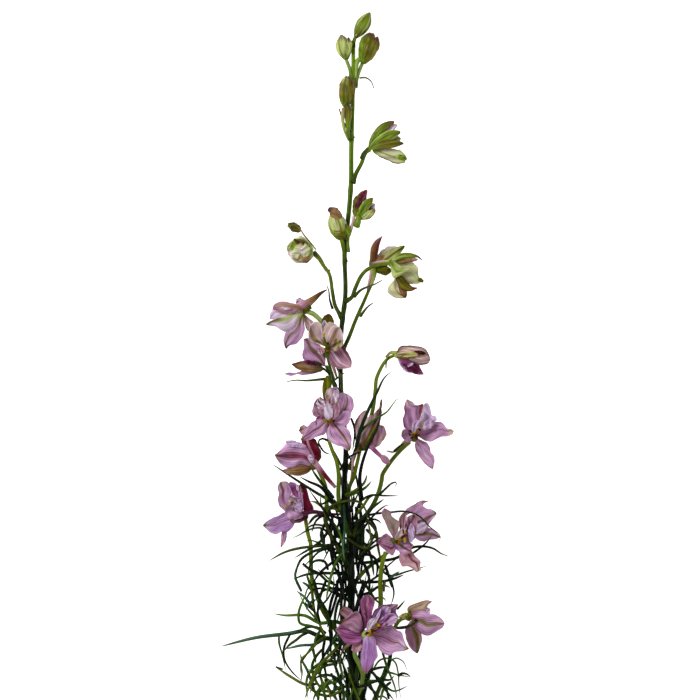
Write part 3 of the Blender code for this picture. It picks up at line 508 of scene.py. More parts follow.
def petal(base, tip, shape, paints, arch, roll=0.5, look=(0, 0, 1), sway=0.0, twist=0.0, widest=0.6,
          blunt=0.6, foot=0.3, nose=0.06, lean=0.0, wave=0.3, waves=3.0, crumple=0.35, crease=0.3, **details):
    """A petal or sepal as a closed thin shell over v, foot to tip, and u, edge to edge, on its midline.

    shape is the full width, or the left and the right edge seen from above, each as x, y, x, y and so on.
    With a width, half of it is a power (blunt) of a sine of v up to widest, and powers of v that close it
    past there, with foot and nose the shares of the width left at the ends. Across, each row is an arc that
    turns through roll towards look. On top come a crease down the middle, ruffles that are sines of v and
    grow to the edges, pleats that are sines of u, and a crumple of slanting sines drawn at random. details
    are the colours of petal_tint."""
    base, tip = np.asarray(base, float), np.asarray(tip, float)
    drawn = isinstance(shape, tuple)
    width = 1.0 if drawn else shape
    seed = int(abs(base[0] * 137 + base[1] * 71 + tip[0] * 53 + tip[1] * 31 + width * 17))
    draw = np.random.default_rng(seed)
    v = np.linspace(0, 1, PETAL_ROWS)[:, None]
    u = np.linspace(-1, 1, PETAL_COLUMNS)[None, :]
    line, across, up, side = midline(base, tip, v, look, arch, sway, twist)

    phase = draw.uniform(0, 2 * np.pi, 12)
    past = np.clip((v - widest) / (1 - widest), 0, 1)
    opening = np.where(v < widest, np.sin(np.pi / 2 * v / widest), 1) ** blunt
    bell = opening * (1 - past**CLOSE_INNER) ** CLOSE_OUTER
    nicks = np.sin(2 * np.pi * NICK_WAVES * v + phase[8] + 2 * np.sign(u)) * np.abs(u) ** 3
    if drawn:
        left, right = drawn_edges(base, tip, side, shape)
        half = np.linalg.norm(right - left, axis=1)[:, None] / 2 * (1 + DRAWN_NICK * wave * nicks)
        line = np.column_stack([(left + right) / 2, line[:, 2]])
        across = np.column_stack([unit(right - left), np.zeros(PETAL_ROWS)])
        up = np.array([[0.0, 0.0, 1.0]])
    else:
        left_wave, right_wave = (np.sin(2 * np.pi * EDGE_WAVES[k] * v + phase[k]) for k in (0, 1))
        edge = np.where(u < 0, left_wave, right_wave)
        half = width / 2 * (bell + (1 - bell) * (foot * (1 - v) ** 2 + nose * v**3))
        half = half * (1 + lean * u) * (1 + wave * (EDGE_WAVE * edge * np.abs(u) + NICK * nicks))
    angle = u * abs(roll)
    flat = half * np.sin(angle) / (math.sin(abs(roll)) if drawn else abs(roll))
    rise = half * (1 - np.cos(angle)) / abs(roll) * np.sign(roll)
    start = np.where(u < 0, phase[2], phase[3])
    ruffle = wave * np.abs(u) ** RUFFLE_POWER * np.sin(2 * np.pi * waves * v + start)
    folds = 0
    for k in range(FOLD_COUNT):
        slant = draw.uniform(*FOLDS_ACROSS) * u + draw.uniform(*FOLDS_ALONG) * v
        folds = folds + np.sin(2 * np.pi * slant + phase[4 + k]) / (1 + k)
    pleats = np.sin(2 * np.pi * (PLEATS * u + 0.15 * np.sin(3 * v)) + phase[9]) * (1 - 0.5 * v)
    small = (ruffle + crumple * (FOLD * folds + PLEAT * pleats)) * smooth_step(0, FREE_FROM, v)
    rise = rise + small - crease * np.exp(-((u / CREASE_WIDTH) ** 2)) * bell
    grid = line[:, None, :] + across[:, None, :] * flat[..., None] + up[:, None, :] * rise[..., None]

    points, quads = thin_shell(grid, PETAL_THICK)
    tint = petal_tint(u, v, folds, phase, paints, **details).reshape(-1, 3)
    uv = np.stack(np.broadcast_arrays(u / 2 + 0.5, v), -1).reshape(-1, 2)
    return dict(points=points, quads=quads, fans=np.zeros((0, 3), int), tint=np.tile(tint, (2, 1)),
                uv=np.tile(uv, (2, 1)), seed=draw.uniform(0, 1))


SEPALS, FOOT_OUT, TIP_OUT, BULGE = 5, 0.1, 0.05, 0.85
CORE_ROWS, CORE_SIDES, CORE_RADIUS, CORE_END = 14, 12, 0.36, 0.05
BUD_SEPAL = dict(foot=0.5, nose=0.1, twist=0.22, wave=0.08, crumple=0.08, crease=-0.25, rib_width=0.16)


def rolled_bud(base, tip, width, paints, turn, rib="moss", rim="pale", core="moss", wrap=1.15, blunt=0.62,
               widest=0.52):
    """Five sepals stood round the line from base to tip, each bulging outwards by a share of the width and
    rolled round the line, every other one a little larger, with an egg-shaped core behind them."""
    base, tip = np.asarray(base, float), np.asarray(tip, float)
    axis = unit(tip - base)
    first = unit(np.cross(axis, (0, 0, 1)))
    second = np.cross(first, axis)
    parts = []
    for k in range(SEPALS):
        angle = turn + 2 * math.pi * k / SEPALS
        out = math.cos(angle) * first + math.sin(angle) * second
        foot_point, tip_point = base + out * width * FOOT_OUT, tip + out * width * TIP_OUT
        full, arch = width * (0.92 + 0.05 * (k % 2)), BULGE * width * (1 + 0.06 * (k % 2))
        parts.append(petal(foot_point, tip_point, full, paints, arch, wrap, look=-out, widest=widest,
                           blunt=blunt, rib=rib, rim=rim, **BUD_SEPAL))
    at = np.linspace(0.02, 0.94, CORE_ROWS)
    middle = base + (tip - base) * at[:, None]
    radius = width * CORE_RADIUS * np.sin(np.pi * at) ** 0.6 + CORE_END
    parts.append(tube(middle, radius, light(PAINT[core]), CORE_SIDES, seed=0.5))
    return parts


def strand(line, start, end, paints):
    """A rod in paints given by name: a spur, a bract, or a thin fold between petals."""
    return rod(line, start, end, [PAINT[name] for name in paints.split()])


bud_skin = plant_skin("bud_skin", across=11, along=1.6, depth=0.5, blotch=0.7, rough=0.36, bump=0.5,
                      specular=0.2)


def bud(number, parts, kind="flower"):
    """One bud, as a piece."""
    fix(piece(f"{kind}_bud_{number:02d}", parts, bud_skin), "bud", f"bud_{number:02d}")


bud(1, [
    *rolled_bud((2.8, 332, 5.8), (10, 344.6, 4.2), 7, "moss green olive", turn=0.5, rib="olive"),
])
bud(2, [
    *rolled_bud((-1.8, 320.8, 7.4), (-4.4, 333.3, 6.6), 7.8, "leaf pale plum", turn=0.9, rib="olive"),
    petal((-2, 321.5, 9.4), (-0.8, 332, 9), 4, "green pale plum", -2, -0.8, sway=1.6, rim="olive"),
])
bud(3, [
    *rolled_bud((6.5, 318.8, 5), (11.5, 334.2, 5), 8.6, "green olive brown", turn=0.2, rim="olive"),
    petal((6.5, 319.5, 8), (10.2, 334.4, 7.2), 6.4, "green green maroon", -2.2, -0.9, sway=-2.6, rib="moss"),
    petal((7.5, 319.5, 7.6), (13.8, 332.5, 7), 5.6, "olive olive maroon", -2.2, -0.9, sway=1.8, rib="brown"),
    strand([(6, 321.5, 6.4), (3.8, 320.2, 7), (3, 316.5, 7.2), (2.5, 311.5, 7.6)], 1.5, 0.7, "green pale"),
])
bud(4, [
    *rolled_bud((-2.5, 296.8, 14.6), (-0.5, 312.2, 14.4), 8, "green olive moss", turn=0.4, rim="olive",
        widest=0.5, blunt=0.45),
    petal((-3, 297.5, 18), (-1.7, 312.3, 17), 6.6, "green olive pale", -2, -0.9, sway=-1, rib="moss",
        rib_width=0.2, rim="tan", rim_side=-1),
    petal((-1.5, 297, 18), (1.2, 311, 16.8), 5, "moss olive brown", -1.8, -0.9, sway=1, rim="maroon",
        rim_side=1),
    strand([(-2, 298, 16), (-0.5, 294, 17), (-1.2, 288, 16), (-0.5, 281, 14.4)], 1.9, 0.6,
        "moss olive green leaf"),
    strand([(-3, 296, 16.4), (-3.7, 292, 17), (-3, 286, 15.6), (-0.7, 280, 13.8)], 1.2, 0.5, "tan pale leaf"),
])
bud(6, [
    petal((3.3, 242, 22), (8.5, 255.1, 22.6), 5.2, "green maroon crimson", -1.8, -0.8, sway=-2.4, blunt=0.5,
        rim="olive", rim_side=-1, widest=0.66),
    petal((4, 241.5, 22.6), (11.4, 251, 23), 5, "green green olive", -2, -0.9, sway=-1, blunt=0.5, rib="moss",
        rim="pale", widest=0.66),
    petal((4.3, 241, 22), (12.5, 245.5, 22.4), 4.4, "green pale tan", -1.4, -0.8, sway=1.8, rim="crimson",
        rim_side=1),
    petal((4, 241.5, 21.4), (12.5, 248, 20.8), 6, "moss brown white", -0.6, -0.4, rib="dark"),
    petal((3, 242, 20), (7, 253.5, 19.6), 6.6, "green olive maroon", 0.8, 0.4, sway=-1.2),
    strand([(3.8, 242.5, 21.6), (4.3, 240.5, 23.4), (3.8, 238.5, 23.8), (3.2, 237, 23)], 1.1, 1.9,
        "olive green green"),
    strand([(2, 242, 20.4), (1.5, 239.5, 21.4), (0.8, 235.5, 21.6), (-0.2, 232, 21)], 0.9, 0.5,
        "blush rose pale"),
])
bud(7, [
    *rolled_bud((-4.2, 231, 21.4), (-8.5, 244.5, 21.4), 9.2, "olive pale pale", turn=1.3, rib="olive",
        rim="ivory", core="pale", blunt=0.5),
    petal((-6, 239, 25), (-10.8, 245.7, 24.4), 6.6, "tan tan maroon", -2.2, -1, sway=2.6, blunt=0.5,
        rim="maroon", rim_side=1, widest=0.5, nose=0.3),
    petal((-7, 242, 24.4), (-11.2, 245.2, 24.6), 1.6, "tan brown dark", -0.4, -0.4),
    petal((-2.5, 230.5, 22.6), (-8, 235.5, 25.2), 6.4, "moss olive green", -1.6, -0.9, sway=1.6, blunt=0.5,
        nose=0.4),
    petal((-4.5, 230, 22), (-10, 237, 24), 5.6, "moss green cream", -1.8, -0.9, sway=1, blunt=0.5),
    petal((-2, 230, 21.4), (-2.5, 238, 24), 5, "olive green brown", -1.6, -0.9, sway=1.4),
])

# ------------------------ opening buds
# Two buds part way open. Their green sepals have let go of each other at the tip and show the cream petals
# inside; the left one is still a round cream ball under its green hood.

bud(5, [
    petal((10, 276.5, 13.2), (22.2, 289.5, 13.8), 4.8, "green green brown", -1.6, -0.9, sway=-4.4,
        widest=0.62, blunt=0.55, nose=0.2, rim="maroon", rib="olive", wave=0.1, crumple=0.1),
    petal((13, 280, 12.6), (23.7, 288, 12.4), 4.6, "pale white white", 0.6, sway=-1, wave=0.4),
    petal((10.7, 276.5, 15), (25.3, 284.2, 16), 5.6, "green green leaf", -2, -0.9, sway=-2.6, widest=0.62,
        blunt=0.55, nose=0.2, rim="pale", rib="olive brown", wave=0.1, crumple=0.1),
    petal((13, 277, 12.4), (25.5, 281, 12.2), 6.4, "green pale ivory", 0.5, sway=-1),
    petal((10.8, 275.8, 16), (26.9, 278.4, 16.6), 4.8, "green olive moss", -2, -0.9, sway=-1.8, widest=0.56,
        rim="brown", rib="moss", rib_width=0.14, wave=0.1, crumple=0.1),
    petal((11.5, 275.7, 13.4), (27.8, 270, 13.6), 7.6, "green ivory pale", -1.2, -0.7, sway=0.6, widest=0.7,
        blunt=0.5, nose=0.45, lean=-0.2, rim="maroon", rim_side=1, rib="olive", crumple=0.2),
    petal((23, 272, 15.2), (28.3, 270.5, 14.6), 3.4, "pale green leaf", -1, -1.2, sway=-0.8, blunt=0.4,
        nose=0.6),
    petal((8, 274, 14.6), (10.5, 276.8, 15), 3.2, "leaf green green", -0.8, -0.9, blunt=0.4),
], "opening")
bud(8, [
    *rolled_bud((-18.5, 224, 14.6), (-31.7, 226.3, 15), 13.4, "pale ivory ivory", turn=0.7, rib="olive",
        rim="tan", core="cream", blunt=0.45, widest=0.5, wrap=1),
    petal((-20, 227, 20.4), (-28.2, 230.7, 20.6), 4.6, "green moss green", -1.8, -0.8, sway=-1.6,
        rib="maroon", rib_width=0.35, widest=0.5),
    petal((-19, 224.5, 20), (-25, 225, 22.4), 8, "green ivory white", -1.4, -0.8, blunt=0.5, nose=0.4),
    petal((-18.5, 223, 19), (-26.5, 220.5, 20.6), 7.4, "pale tan cream", -1.6, -0.9, rim="maroon",
        crumple=0.5),
    petal((-23, 223.5, 20.8), (-31, 223, 20.4), 6, "pale ivory white", -1.6, -0.8, wave=0.5),
    petal((-25, 227, 20.6), (-31.2, 226.3, 19.6), 5.6, "pale green ivory", -1.4, -0.8, wave=0.5),
    petal((-24.7, 234.3, 20), (-31.2, 237.8, 20), 5.4, "olive moss olive", -1.4, -0.9, sway=0.8, widest=0.5,
        blunt=0.5, nose=0.4, foot=0.2, rim="maroon", rim_side=1),
    strand([(-29, 237.5, 20.4), (-25.5, 236, 20.8), (-23, 232.5, 20.4), (-20, 229, 19.2), (-17.2, 225.5, 16)],
        0.4, 0.45, "maroon tan olive pale"),
    strand([(-18.5, 224, 14.6), (-15.5, 221, 14.8), (-13, 217, 15.4), (-12, 214.5, 15.8)], 1.5, 0.5,
        "moss olive tan"),
], "opening")

# ------------------------ small flowers
# The upper flowers, seen from the side or from behind: five sepals like thin wrinkled petals, lilac inside
# and olive down the midrib outside, round a small green seat that ends behind in a hollow spur.

SEAT_ROWS, SEAT_SIDES = 12, 12


def seat(centre, radius, paint, look=(0, 0, 1), length=1.6):
    """The small cup that the sepals grow from: a rod along look, as long as so many radii, whose radius
    follows the square root of a half sine."""
    at = np.linspace(0.04, 0.96, SEAT_ROWS)
    middle = np.asarray(centre, float) + unit(look) * ((at - 0.5) * radius * length)[:, None]
    return tube(middle, radius * np.sin(np.pi * at) ** 0.5, light(PAINT[paint]), SEAT_SIDES, seed=0.3)


sepal_skin = plant_skin("sepal_skin", across=11.5, along=1.0, depth=0.95, blotch=0.8, rough=0.45, bump=0.5)


def calyx(number, parts):
    """The sepals, seat and spur of one flower, grown together as one piece."""
    fix(piece(f"flower_{number:02d}_sepals", parts, sepal_skin), "sepals", f"sepals_{number:02d}")


calyx(9, [
    petal((11, 216, 8.4), (16.2, 232.2, 10), ([9.8, 217, 10, 221, 10.8, 227, 13.3, 230.5], [12.8, 219,
        14, 223.5, 15, 228.5]), "olive tan rose", -1, -0.6, fade="rose", rib="brown crimson", rib_at=0.4,
        rib_width=0.5, wave=0.1, crumple=0.15),
    petal((12, 216, 7), (26, 226, 7.6), ([13, 221.5, 15, 224.2, 18.5, 226.8, 23, 227.1], [17.5, 217,
        21.5, 219, 24.5, 222.5]), "beige ivory ash", 1, 0.3, wave=0.7, waves=5, lines="tan", fade="white",
        rim="white"),
    petal((11.5, 216, 9), (21, 221.5, 9.6), 6.4, "olive tan beige", -0.8, -0.5, sway=-0.6, blunt=0.5),
    petal((15.5, 218, 10.4), (27.5, 227.2, 12.4), 4.2, "olive pale green", -0.8, -0.7, sway=-0.6, rib="brown",
        rib_width=0.3, wave=0.15),
    petal((12.5, 216, 9.4), (21, 215, 11), 5, "leaf olive moss", -0.8, -0.7, sway=1.2, blunt=0.5, rim="moss"),
    petal((10, 217, 11), (21, 219.2, 13), 1.6, "rose rose tan", -0.4, -0.5),
    seat((12.7, 215.7, 8), 1.8, "olive"),
    strand([(11, 216, 9), (10.5, 212, 10.6), (9.5, 208.5, 12), (8.8, 204, 12.6)], 1.2, 0.5,
        "pale rose rose brown"),
    strand([(12.5, 215.5, 9.6), (11.8, 211, 12), (10.5, 207, 13.4)], 1, 0.7, "green pale"),
])
calyx(10, [
    petal((20.5, 219.2, 25), (36.3, 219.8, 23.6), ([22.5, 222, 27, 223.6, 31.5, 223.2, 34.5, 221.8], [25, 220,
        29, 220.5, 33.5, 221.2]), "pale green olive", -2, -0.8, rim="brown", rim_side=1, rib="pale tan",
        rib_width=0.25, wave=0.15, crumple=0.15),
    petal((22, 218, 24), (34, 220, 24.6), 3.6, "green tan rose", -1, -0.6, sway=-2.4, widest=0.5, blunt=0.8,
        rim="brown"),
    petal((23, 218, 21), (36.2, 209.2, 22), ([27, 219.2, 31.5, 218.7, 34, 216.2, 34.4, 212], [24.5, 213.5,
        29.5, 208.3, 33.5, 208]), "pale ivory ivory", -2.4, -0.8, fade="ivory", rib="pale", crumple=0.6,
        wave=0.4),
    petal((33.5, 211, 24.4), (36.7, 209.2, 24), 2.4, "pale olive moss", -0.6, -1, blunt=0.4, nose=0.6,
        fade="moss"),
    petal((20.5, 219, 26), (29.9, 215, 28.2), ([22.5, 218.8, 25, 217.3, 27.5, 216.2], [20.5, 215, 22, 211,
        24.5, 211.8, 27.5, 213.8]), "green pale ivory", -1.4, -0.9, fade="green", rim="ivory",
        rib="leaf green", crumple=0.3),
    petal((23.5, 214, 21), (27.8, 201, 22.4), ([26, 210, 26.8, 207, 28, 204], [22.5, 211, 19, 206,
        18.8, 204.5, 21, 202, 24.5, 200.8]), "pale ivory ivory", -1.2, -0.7, fade="ash", rim="maroon",
        rim_side=-1, rib="beige tan", crumple=0.4),
    petal((25, 210, 23.4), (27.8, 201, 24), 4, "beige tan brown", -0.8, -0.6, fade="crimson"),
    petal((22.5, 214, 24.6), (33.9, 206, 27), ([25.5, 212.5, 28.2, 209.8, 31.3, 206.6], [23, 210.5, 26, 205.2,
        30, 204.3]), "moss olive crimson", -1.8, -0.9, fade="brown", rim="maroon", rib="moss crimson",
        wave=0.1, crumple=0.15),
    seat((20.7, 218.3, 24.4), 1.9, "green"),
    strand([(20.5, 219, 23.6), (16.5, 219.2, 21.6), (10, 218.2, 18)], 1, 0.5, "pale rose rose brown"),
])
calyx(11, [
    petal((-23, 195, 8.6), (-26, 201, 8), 4.6, "lilac lavender lavender", 1.5, wave=0.6, blunt=0.5, nose=0.4),
    petal((-24.5, 195, 12.4), (-40.3, 190.5, 13.2), ([-29.5, 192, -35, 190.3], [-31, 196, -38, 196.2,
        -40, 193.5]), "white white lavender", -0.8, -0.3, fade="white", crumple=0.2),
    petal((-23.5, 195.2, 15), (-38.8, 195.5, 16), ([-25.5, 194.8, -29.5, 193.9, -32.5, 193.3, -35.5, 194.3],
        [-26, 197.7, -29.5, 198.6, -33.5, 199.4, -36.5, 198.8, -38.3, 197.5]), "tan rose magenta", -2, -0.9,
        fade="rose", rib="tan beige", rib_at=0.35, rib_width=0.3, rim="rose", wave=0.2, crumple=0.2),
    # A thin white strip lying on the hood sepal: a painted highlight, not a part of the flower.
    petal((-29.5, 195.5, 17.2), (-35, 196.2, 16.8), 1.6, "rose white blush", -0.6, -0.5),
    petal((-23.5, 194, 12), (-42.3, 187.9, 14.6), ([-25.5, 190, -28.5, 186, -32, 184, -35, 185.2,
        -37.5, 186.8, -40.5, 187.2], [-27.5, 194.5, -32.5, 192, -37.5, 190.5, -40.5, 189.2]),
        "pale white lavender", -2, -0.8, fade="lilac", rib="pale olive", rib_at=0.7, rib_width=0.5,
        end="moss", crumple=0.3),
    petal((-23.2, 193.5, 11.4), (-32, 175.6, 13.6), ([-23, 189, -22.8, 185, -27.8, 177.7, -30.5, 177.1],
        [-26, 190.5, -29.5, 185, -32.5, 183.5, -33.3, 181, -33.2, 178]), "olive lilac lilac", -2, -0.7,
        fade="lilac", rib="olive moss", rib_at=0.35, rib_width=0.16, end="moss", wave=0.4),
    petal((-23.5, 193, 8.4), (-21, 184.5, 8.8), ([-20.5, 191, -18.5, 189, -19.2, 186.2], [-23, 189.5,
        -22.3, 186.5]), "tan blush blush", -0.8),
    seat((-22.7, 194.7, 10), 1.9, "leaf"),
    strand([(-26.5, 195.2, 9.4), (-22.5, 197.6, 11), (-18, 200.8, 11.8), (-14.5, 203.6, 12),
        (-11.5, 205.3, 11.8)], 3.3, 0.3, "mauve mauve tan brown plum"),
    strand([(-23, 194.5, 12.4), (-21.5, 195.7, 13), (-19.8, 196.8, 12.6)], 0.9, 1.3, "olive moss"),
])
calyx(13, [
    petal((24, 171.5, 24.4), (31, 163.7, 24.8), ([29.5, 171, 33.5, 169.5, 33.5, 166.2], [24.3, 169,
        25.5, 166.7, 28.3, 163.9]), "mauve plum magenta", -1.2, -0.5, fade="lilac", crumple=0.6,
        rim="lavender", rim_side=1),
    petal((27.5, 170.5, 24.8), (36.8, 162.8, 25.8), ([31, 170, 34, 168.3, 35.5, 165.5], [28.5, 166,
        31.2, 163.5, 34, 162.7]), "mauve plum magenta", -1.2, -0.7, fade="mauve", crumple=0.4),
    petal((24.5, 171.5, 24.8), (31.7, 168.5, 26), 6.4, "mauve magenta lavender", -1.2, -0.6, sway=0.8,
        blunt=0.5, nose=0.3, crumple=0.7, rim="lavender"),
    petal((24, 172.7, 26), (40.2, 170.3, 26.6), ([23.8, 175.3, 25.2, 176.8, 29, 177.3, 32.6, 177, 37.5, 175.6,
        39.1, 173.5], [27, 171, 31, 168.7, 35.5, 167.5, 39.3, 168.6]), "tan blush mauve", -2, -0.9,
        fade="beige", crumple=0.4, rib="rose beige", rib_width=0.2, rim="brown", lines="brown", wave=0.2),
    petal((23.5, 172.5, 27.6), (33.8, 172.7, 29.4), 3.4, "beige cream cream", -0.8, -0.7, sway=-0.6,
        blunt=0.5, nose=0.4, rib="brown pale", rib_width=0.3),
    petal((23.5, 171.5, 27), (32.5, 171.4, 28.8), 1.8, "green olive green", -0.6, -0.6),
    # A thin near-black strip filling the slot between the sepals: painted shade in the gap.
    petal((32, 174, 28.6), (37.7, 173.3, 28.8), 2.2, "maroon maroon dark", -0.4, -0.4),
    seat((23.7, 172.5, 25.2), 1.8, "pale"),
    strand([(23.5, 173.5, 26), (20.5, 173.8, 24.6), (18, 171.5, 22.6)], 1.1, 0.5, "pale tan"),
])
calyx(15, [
    petal((5, 127, 30.4), (8, 144.8, 32.6), 6.4, "rose blush rose", -1.2, -0.6, lines="crimson", sway=-2.8,
        rim="crimson", rim_side=-1, wave=0.15),
    petal((8, 127, 29.8), (15.5, 137.5, 32.4), 9, "mauve rose lilac", -1, -0.6, sway=2.6, blunt=0.5,
        nose=0.3),
    petal((5.5, 126.5, 31.6), (10.8, 142.5, 34), 6.6, "tan blush blush", -1.6, -0.8, sway=-1, widest=0.5,
        rib="tan rose", wave=0.1, crumple=0.15),
    petal((6.3, 126.3, 33.2), (15.3, 146.5, 35), 6.2, "tan rose brown", -2, -0.9, sway=0.8, widest=0.52,
        blunt=0.8, rib="moss maroon", rib_width=0.3, rim="rose", wave=0.1, crumple=0.12),
    petal((15, 144, 34.8), (15.7, 150.5, 35), 1.2, "maroon brown brown", -0.2, -0.4),
    petal((7, 126.5, 34.2), (14.9, 139.5, 35.4), 3, "moss olive olive", -1.2, -0.9, sway=0.4, rim="brown",
        wave=0.1, crumple=0.1),
    seat((6.3, 126.8, 31.4), 2.3, "moss"),
    strand([(9, 128.5, 31), (11.5, 125.7, 32.2), (17, 120.5, 33)], 1.4, 0.9, "mauve magenta mauve"),
    seat((17.5, 120.3, 33), 1.8, "mauve", look=(1, -1, 0), length=3.4),
    strand([(17, 120.7, 33), (18.2, 119.8, 33), (19.2, 118.3, 32.8)], 1, 0.6, "mauve rose"),
    strand([(9.5, 126.5, 30.6), (12, 125.2, 31), (14.2, 123.7, 31)], 0.8, 0.3, "tan brown"),
    strand([(5.5, 126, 31), (1.8, 122, 30), (1.3, 117, 28.6), (0.5, 110, 26)], 0.8, 0.5, "tan rose tan"),
])
calyx(17, [
    petal((-18, 118, 18), (-20.5, 131.2, 20.6), ([-21, 121.5, -23.5, 126.5, -24, 130], [-16.5, 118.5,
        -14.5, 121, -14.5, 124, -16, 127.5, -17.2, 130.2]), "crimson crimson maroon", -1.6, -0.8,
        fade="brown", rib="rose", rib_at=-0.2, rib_width=0.14, rim="brown", rim_side=1, wave=0.5,
        crumple=0.6),
    petal((-18.5, 116.5, 20), (-34.2, 114.6, 20.6), ([-21, 113.5, -25, 112, -30, 112.7], [-19.5, 117,
        -25, 117.8, -30, 116.5]), "brown tan rose", -1.6, -0.8, fade="rose", end="brown", lines="crimson",
        rim="beige", rib="brown olive", wave=0.15, crumple=0.2),
    petal((-19.5, 119, 21.4), (-37.6, 122.5, 23.6), ([-19.5, 117.5, -25, 117.7, -29, 116, -33.5, 117,
        -36, 119.5], [-20.5, 125, -23.5, 128, -32, 128, -34.5, 125.2]), "mauve lilac mauve", -2.4, -0.8,
        fade="lavender", rib="crimson maroon", rib_at=-0.05, rib_width=0.26, end="olive", wave=0.25, waves=4),
    petal((-22, 126.5, 23.4), (-32, 129.2, 24), 3.2, "lilac lavender lavender", -1, -0.5, wave=0.4, waves=5,
        blunt=0.5, nose=0.4),
    petal((-18.3, 118.5, 24), (-20.2, 122.8, 25.4), 3, "rose lavender white", -1.2, -0.7, sway=-0.6,
        blunt=0.5, nose=0.5),
    seat((-18.3, 117, 19.4), 2.2, "olive"),
    strand([(-18, 119, 20.4), (-16.2, 117, 22.4), (-13.7, 113.7, 23.4), (-7.2, 106.2, 23.6)], 1.6, 0.8,
        "rose mauve crimson crimson rose"),
    strand([(-17, 118.5, 21.4), (-15, 116.3, 23), (-9.5, 109.5, 24.2)], 0.5, 0.3, "blush blush"),
])
calyx(20, [
    petal((27, 91.8, 10.2), (39.3, 99.2, 12.6), ([28, 94.7, 32, 97.4, 36, 99.5], [30, 93, 34, 94.5,
        36.2, 96.5, 37.3, 98.2]), "mauve lilac tan", -1, -0.6, rim="olive", rim_side=-1),
    petal((31, 88.5, 11), (43.4, 93.2, 13.6), ([32.5, 94.5, 36, 97, 38, 95.8, 40.5, 95.3, 42.3, 94.4],
        [35, 85.5, 39, 85.8, 40, 88.3, 42, 90.7]), "mauve lilac lavender", -0.8, 0.3, fade="lilac",
        rib="brown", rib_at=0.3, rib_width=0.26, end="olive", wave=0.4),
    petal((31.8, 83.5, 10), (45.2, 81.1, 13), ([34.5, 84.7, 39, 86, 42, 84.5, 44, 82.7], [32.5, 81,
        34.5, 79.5, 37, 78.9, 39.5, 79.8, 43, 80.2]), "mauve lilac lilac", -0.8, -0.4, fade="lilac",
        rib="olive", rib_at=-0.1, rib_width=0.3, end="olive"),
    petal((31, 84.5, 12.2), (39, 87, 14.4), 5, "rose lavender white", -0.8, -0.5, sway=-0.4, wave=0.5,
        crumple=0.6, blunt=0.5, nose=0.4),
    petal((31, 83.7, 12.4), (37.5, 84.7, 14), 3, "mauve white lavender", 1.5, wave=0.4, crumple=0.4,
        blunt=0.5),
    petal((30.5, 87, 11.6), (32.3, 92.7, 14.6), 3.4, "mauve crimson brown", 1.5, crumple=0.6, blunt=0.5,
        nose=0.4),
    petal((25.3, 87, 10), (27.8, 93.2, 11.4), 3, "mauve mauve tan", 1.5, -0.6, sway=-1, blunt=0.5,
        rim="olive", rim_side=-1),
    seat((31.2, 84.7, 9.4), 1.8, "olive"),
])
calyx(22, [
    petal((36, 43, 8.6), (40.3, 44.8, 9.4), 4, "cream white lavender", -0.6, -0.3, blunt=0.5, nose=0.2),
    petal((29.5, 42.2, 9.6), (41.2, 48.8, 11.6), ([28.8, 45, 35, 48.6, 38.5, 49.5], [32.5, 43.3, 35.5, 44.2,
        38, 45, 39.3, 47.2]), "olive beige rose", -1.2, -0.7, fade="olive", rim="tan", rim_side=-1,
        wave=0.15),
    petal((30, 41, 9), (24.3, 41, 9.4), ([27.5, 40], [29, 43.1, 26.5, 42.8]), "pale cream cream", -0.6, -0.5,
        fade="pale", wave=0.5),
    petal((30.5, 39, 10), (33.7, 22.8, 12.4), ([33.5, 35.5, 35.5, 33, 36.2, 29.8, 35.3, 26.5, 34.5, 24],
        [27.8, 35, 28, 31, 29.2, 27.5, 31.2, 24.5]), "mauve mauve lilac", -1.8, -0.7, fade="lilac",
        rib="olive", rib_at=-0.35, rib_width=0.3, end="olive"),
    # This sepal's foot is painted a darker magenta: painted shade near the middle of the flower.
    petal((30.5, 40.5, 11.4), (47.4, 37.8, 13.4), ([31, 43.3, 34, 44, 37, 44.5, 39, 42.9, 42, 42.5, 45, 41,
        46.8, 39.2], [32.5, 36.5, 35.2, 33.5, 37.5, 31.8, 40.5, 32.1, 43.5, 34, 46.5, 36]),
        "magenta lilac lilac", -2, -0.7, fade="mauve", rib="olive", rib_width=0.2),
    seat((29.5, 40.7, 10.2), 1.8, "olive"),
    petal((28.5, 40.5, 12), (30.5, 43, 12.6), 2.6, "green green olive", -0.8, -0.9),
    strand([(23.5, 35.6, 12.6), (27.5, 35.8, 14), (30.5, 37.2, 14.8), (32.5, 39.2, 14.6)], 0.7, 0.4,
        "dark dark olive"),
])

# ------------------------ open flowers
# The six open flowers, facing up. Five broad sepals spread from the seat: lilac to magenta, veined, their
# rims waved and their midribs ending in an olive tip.

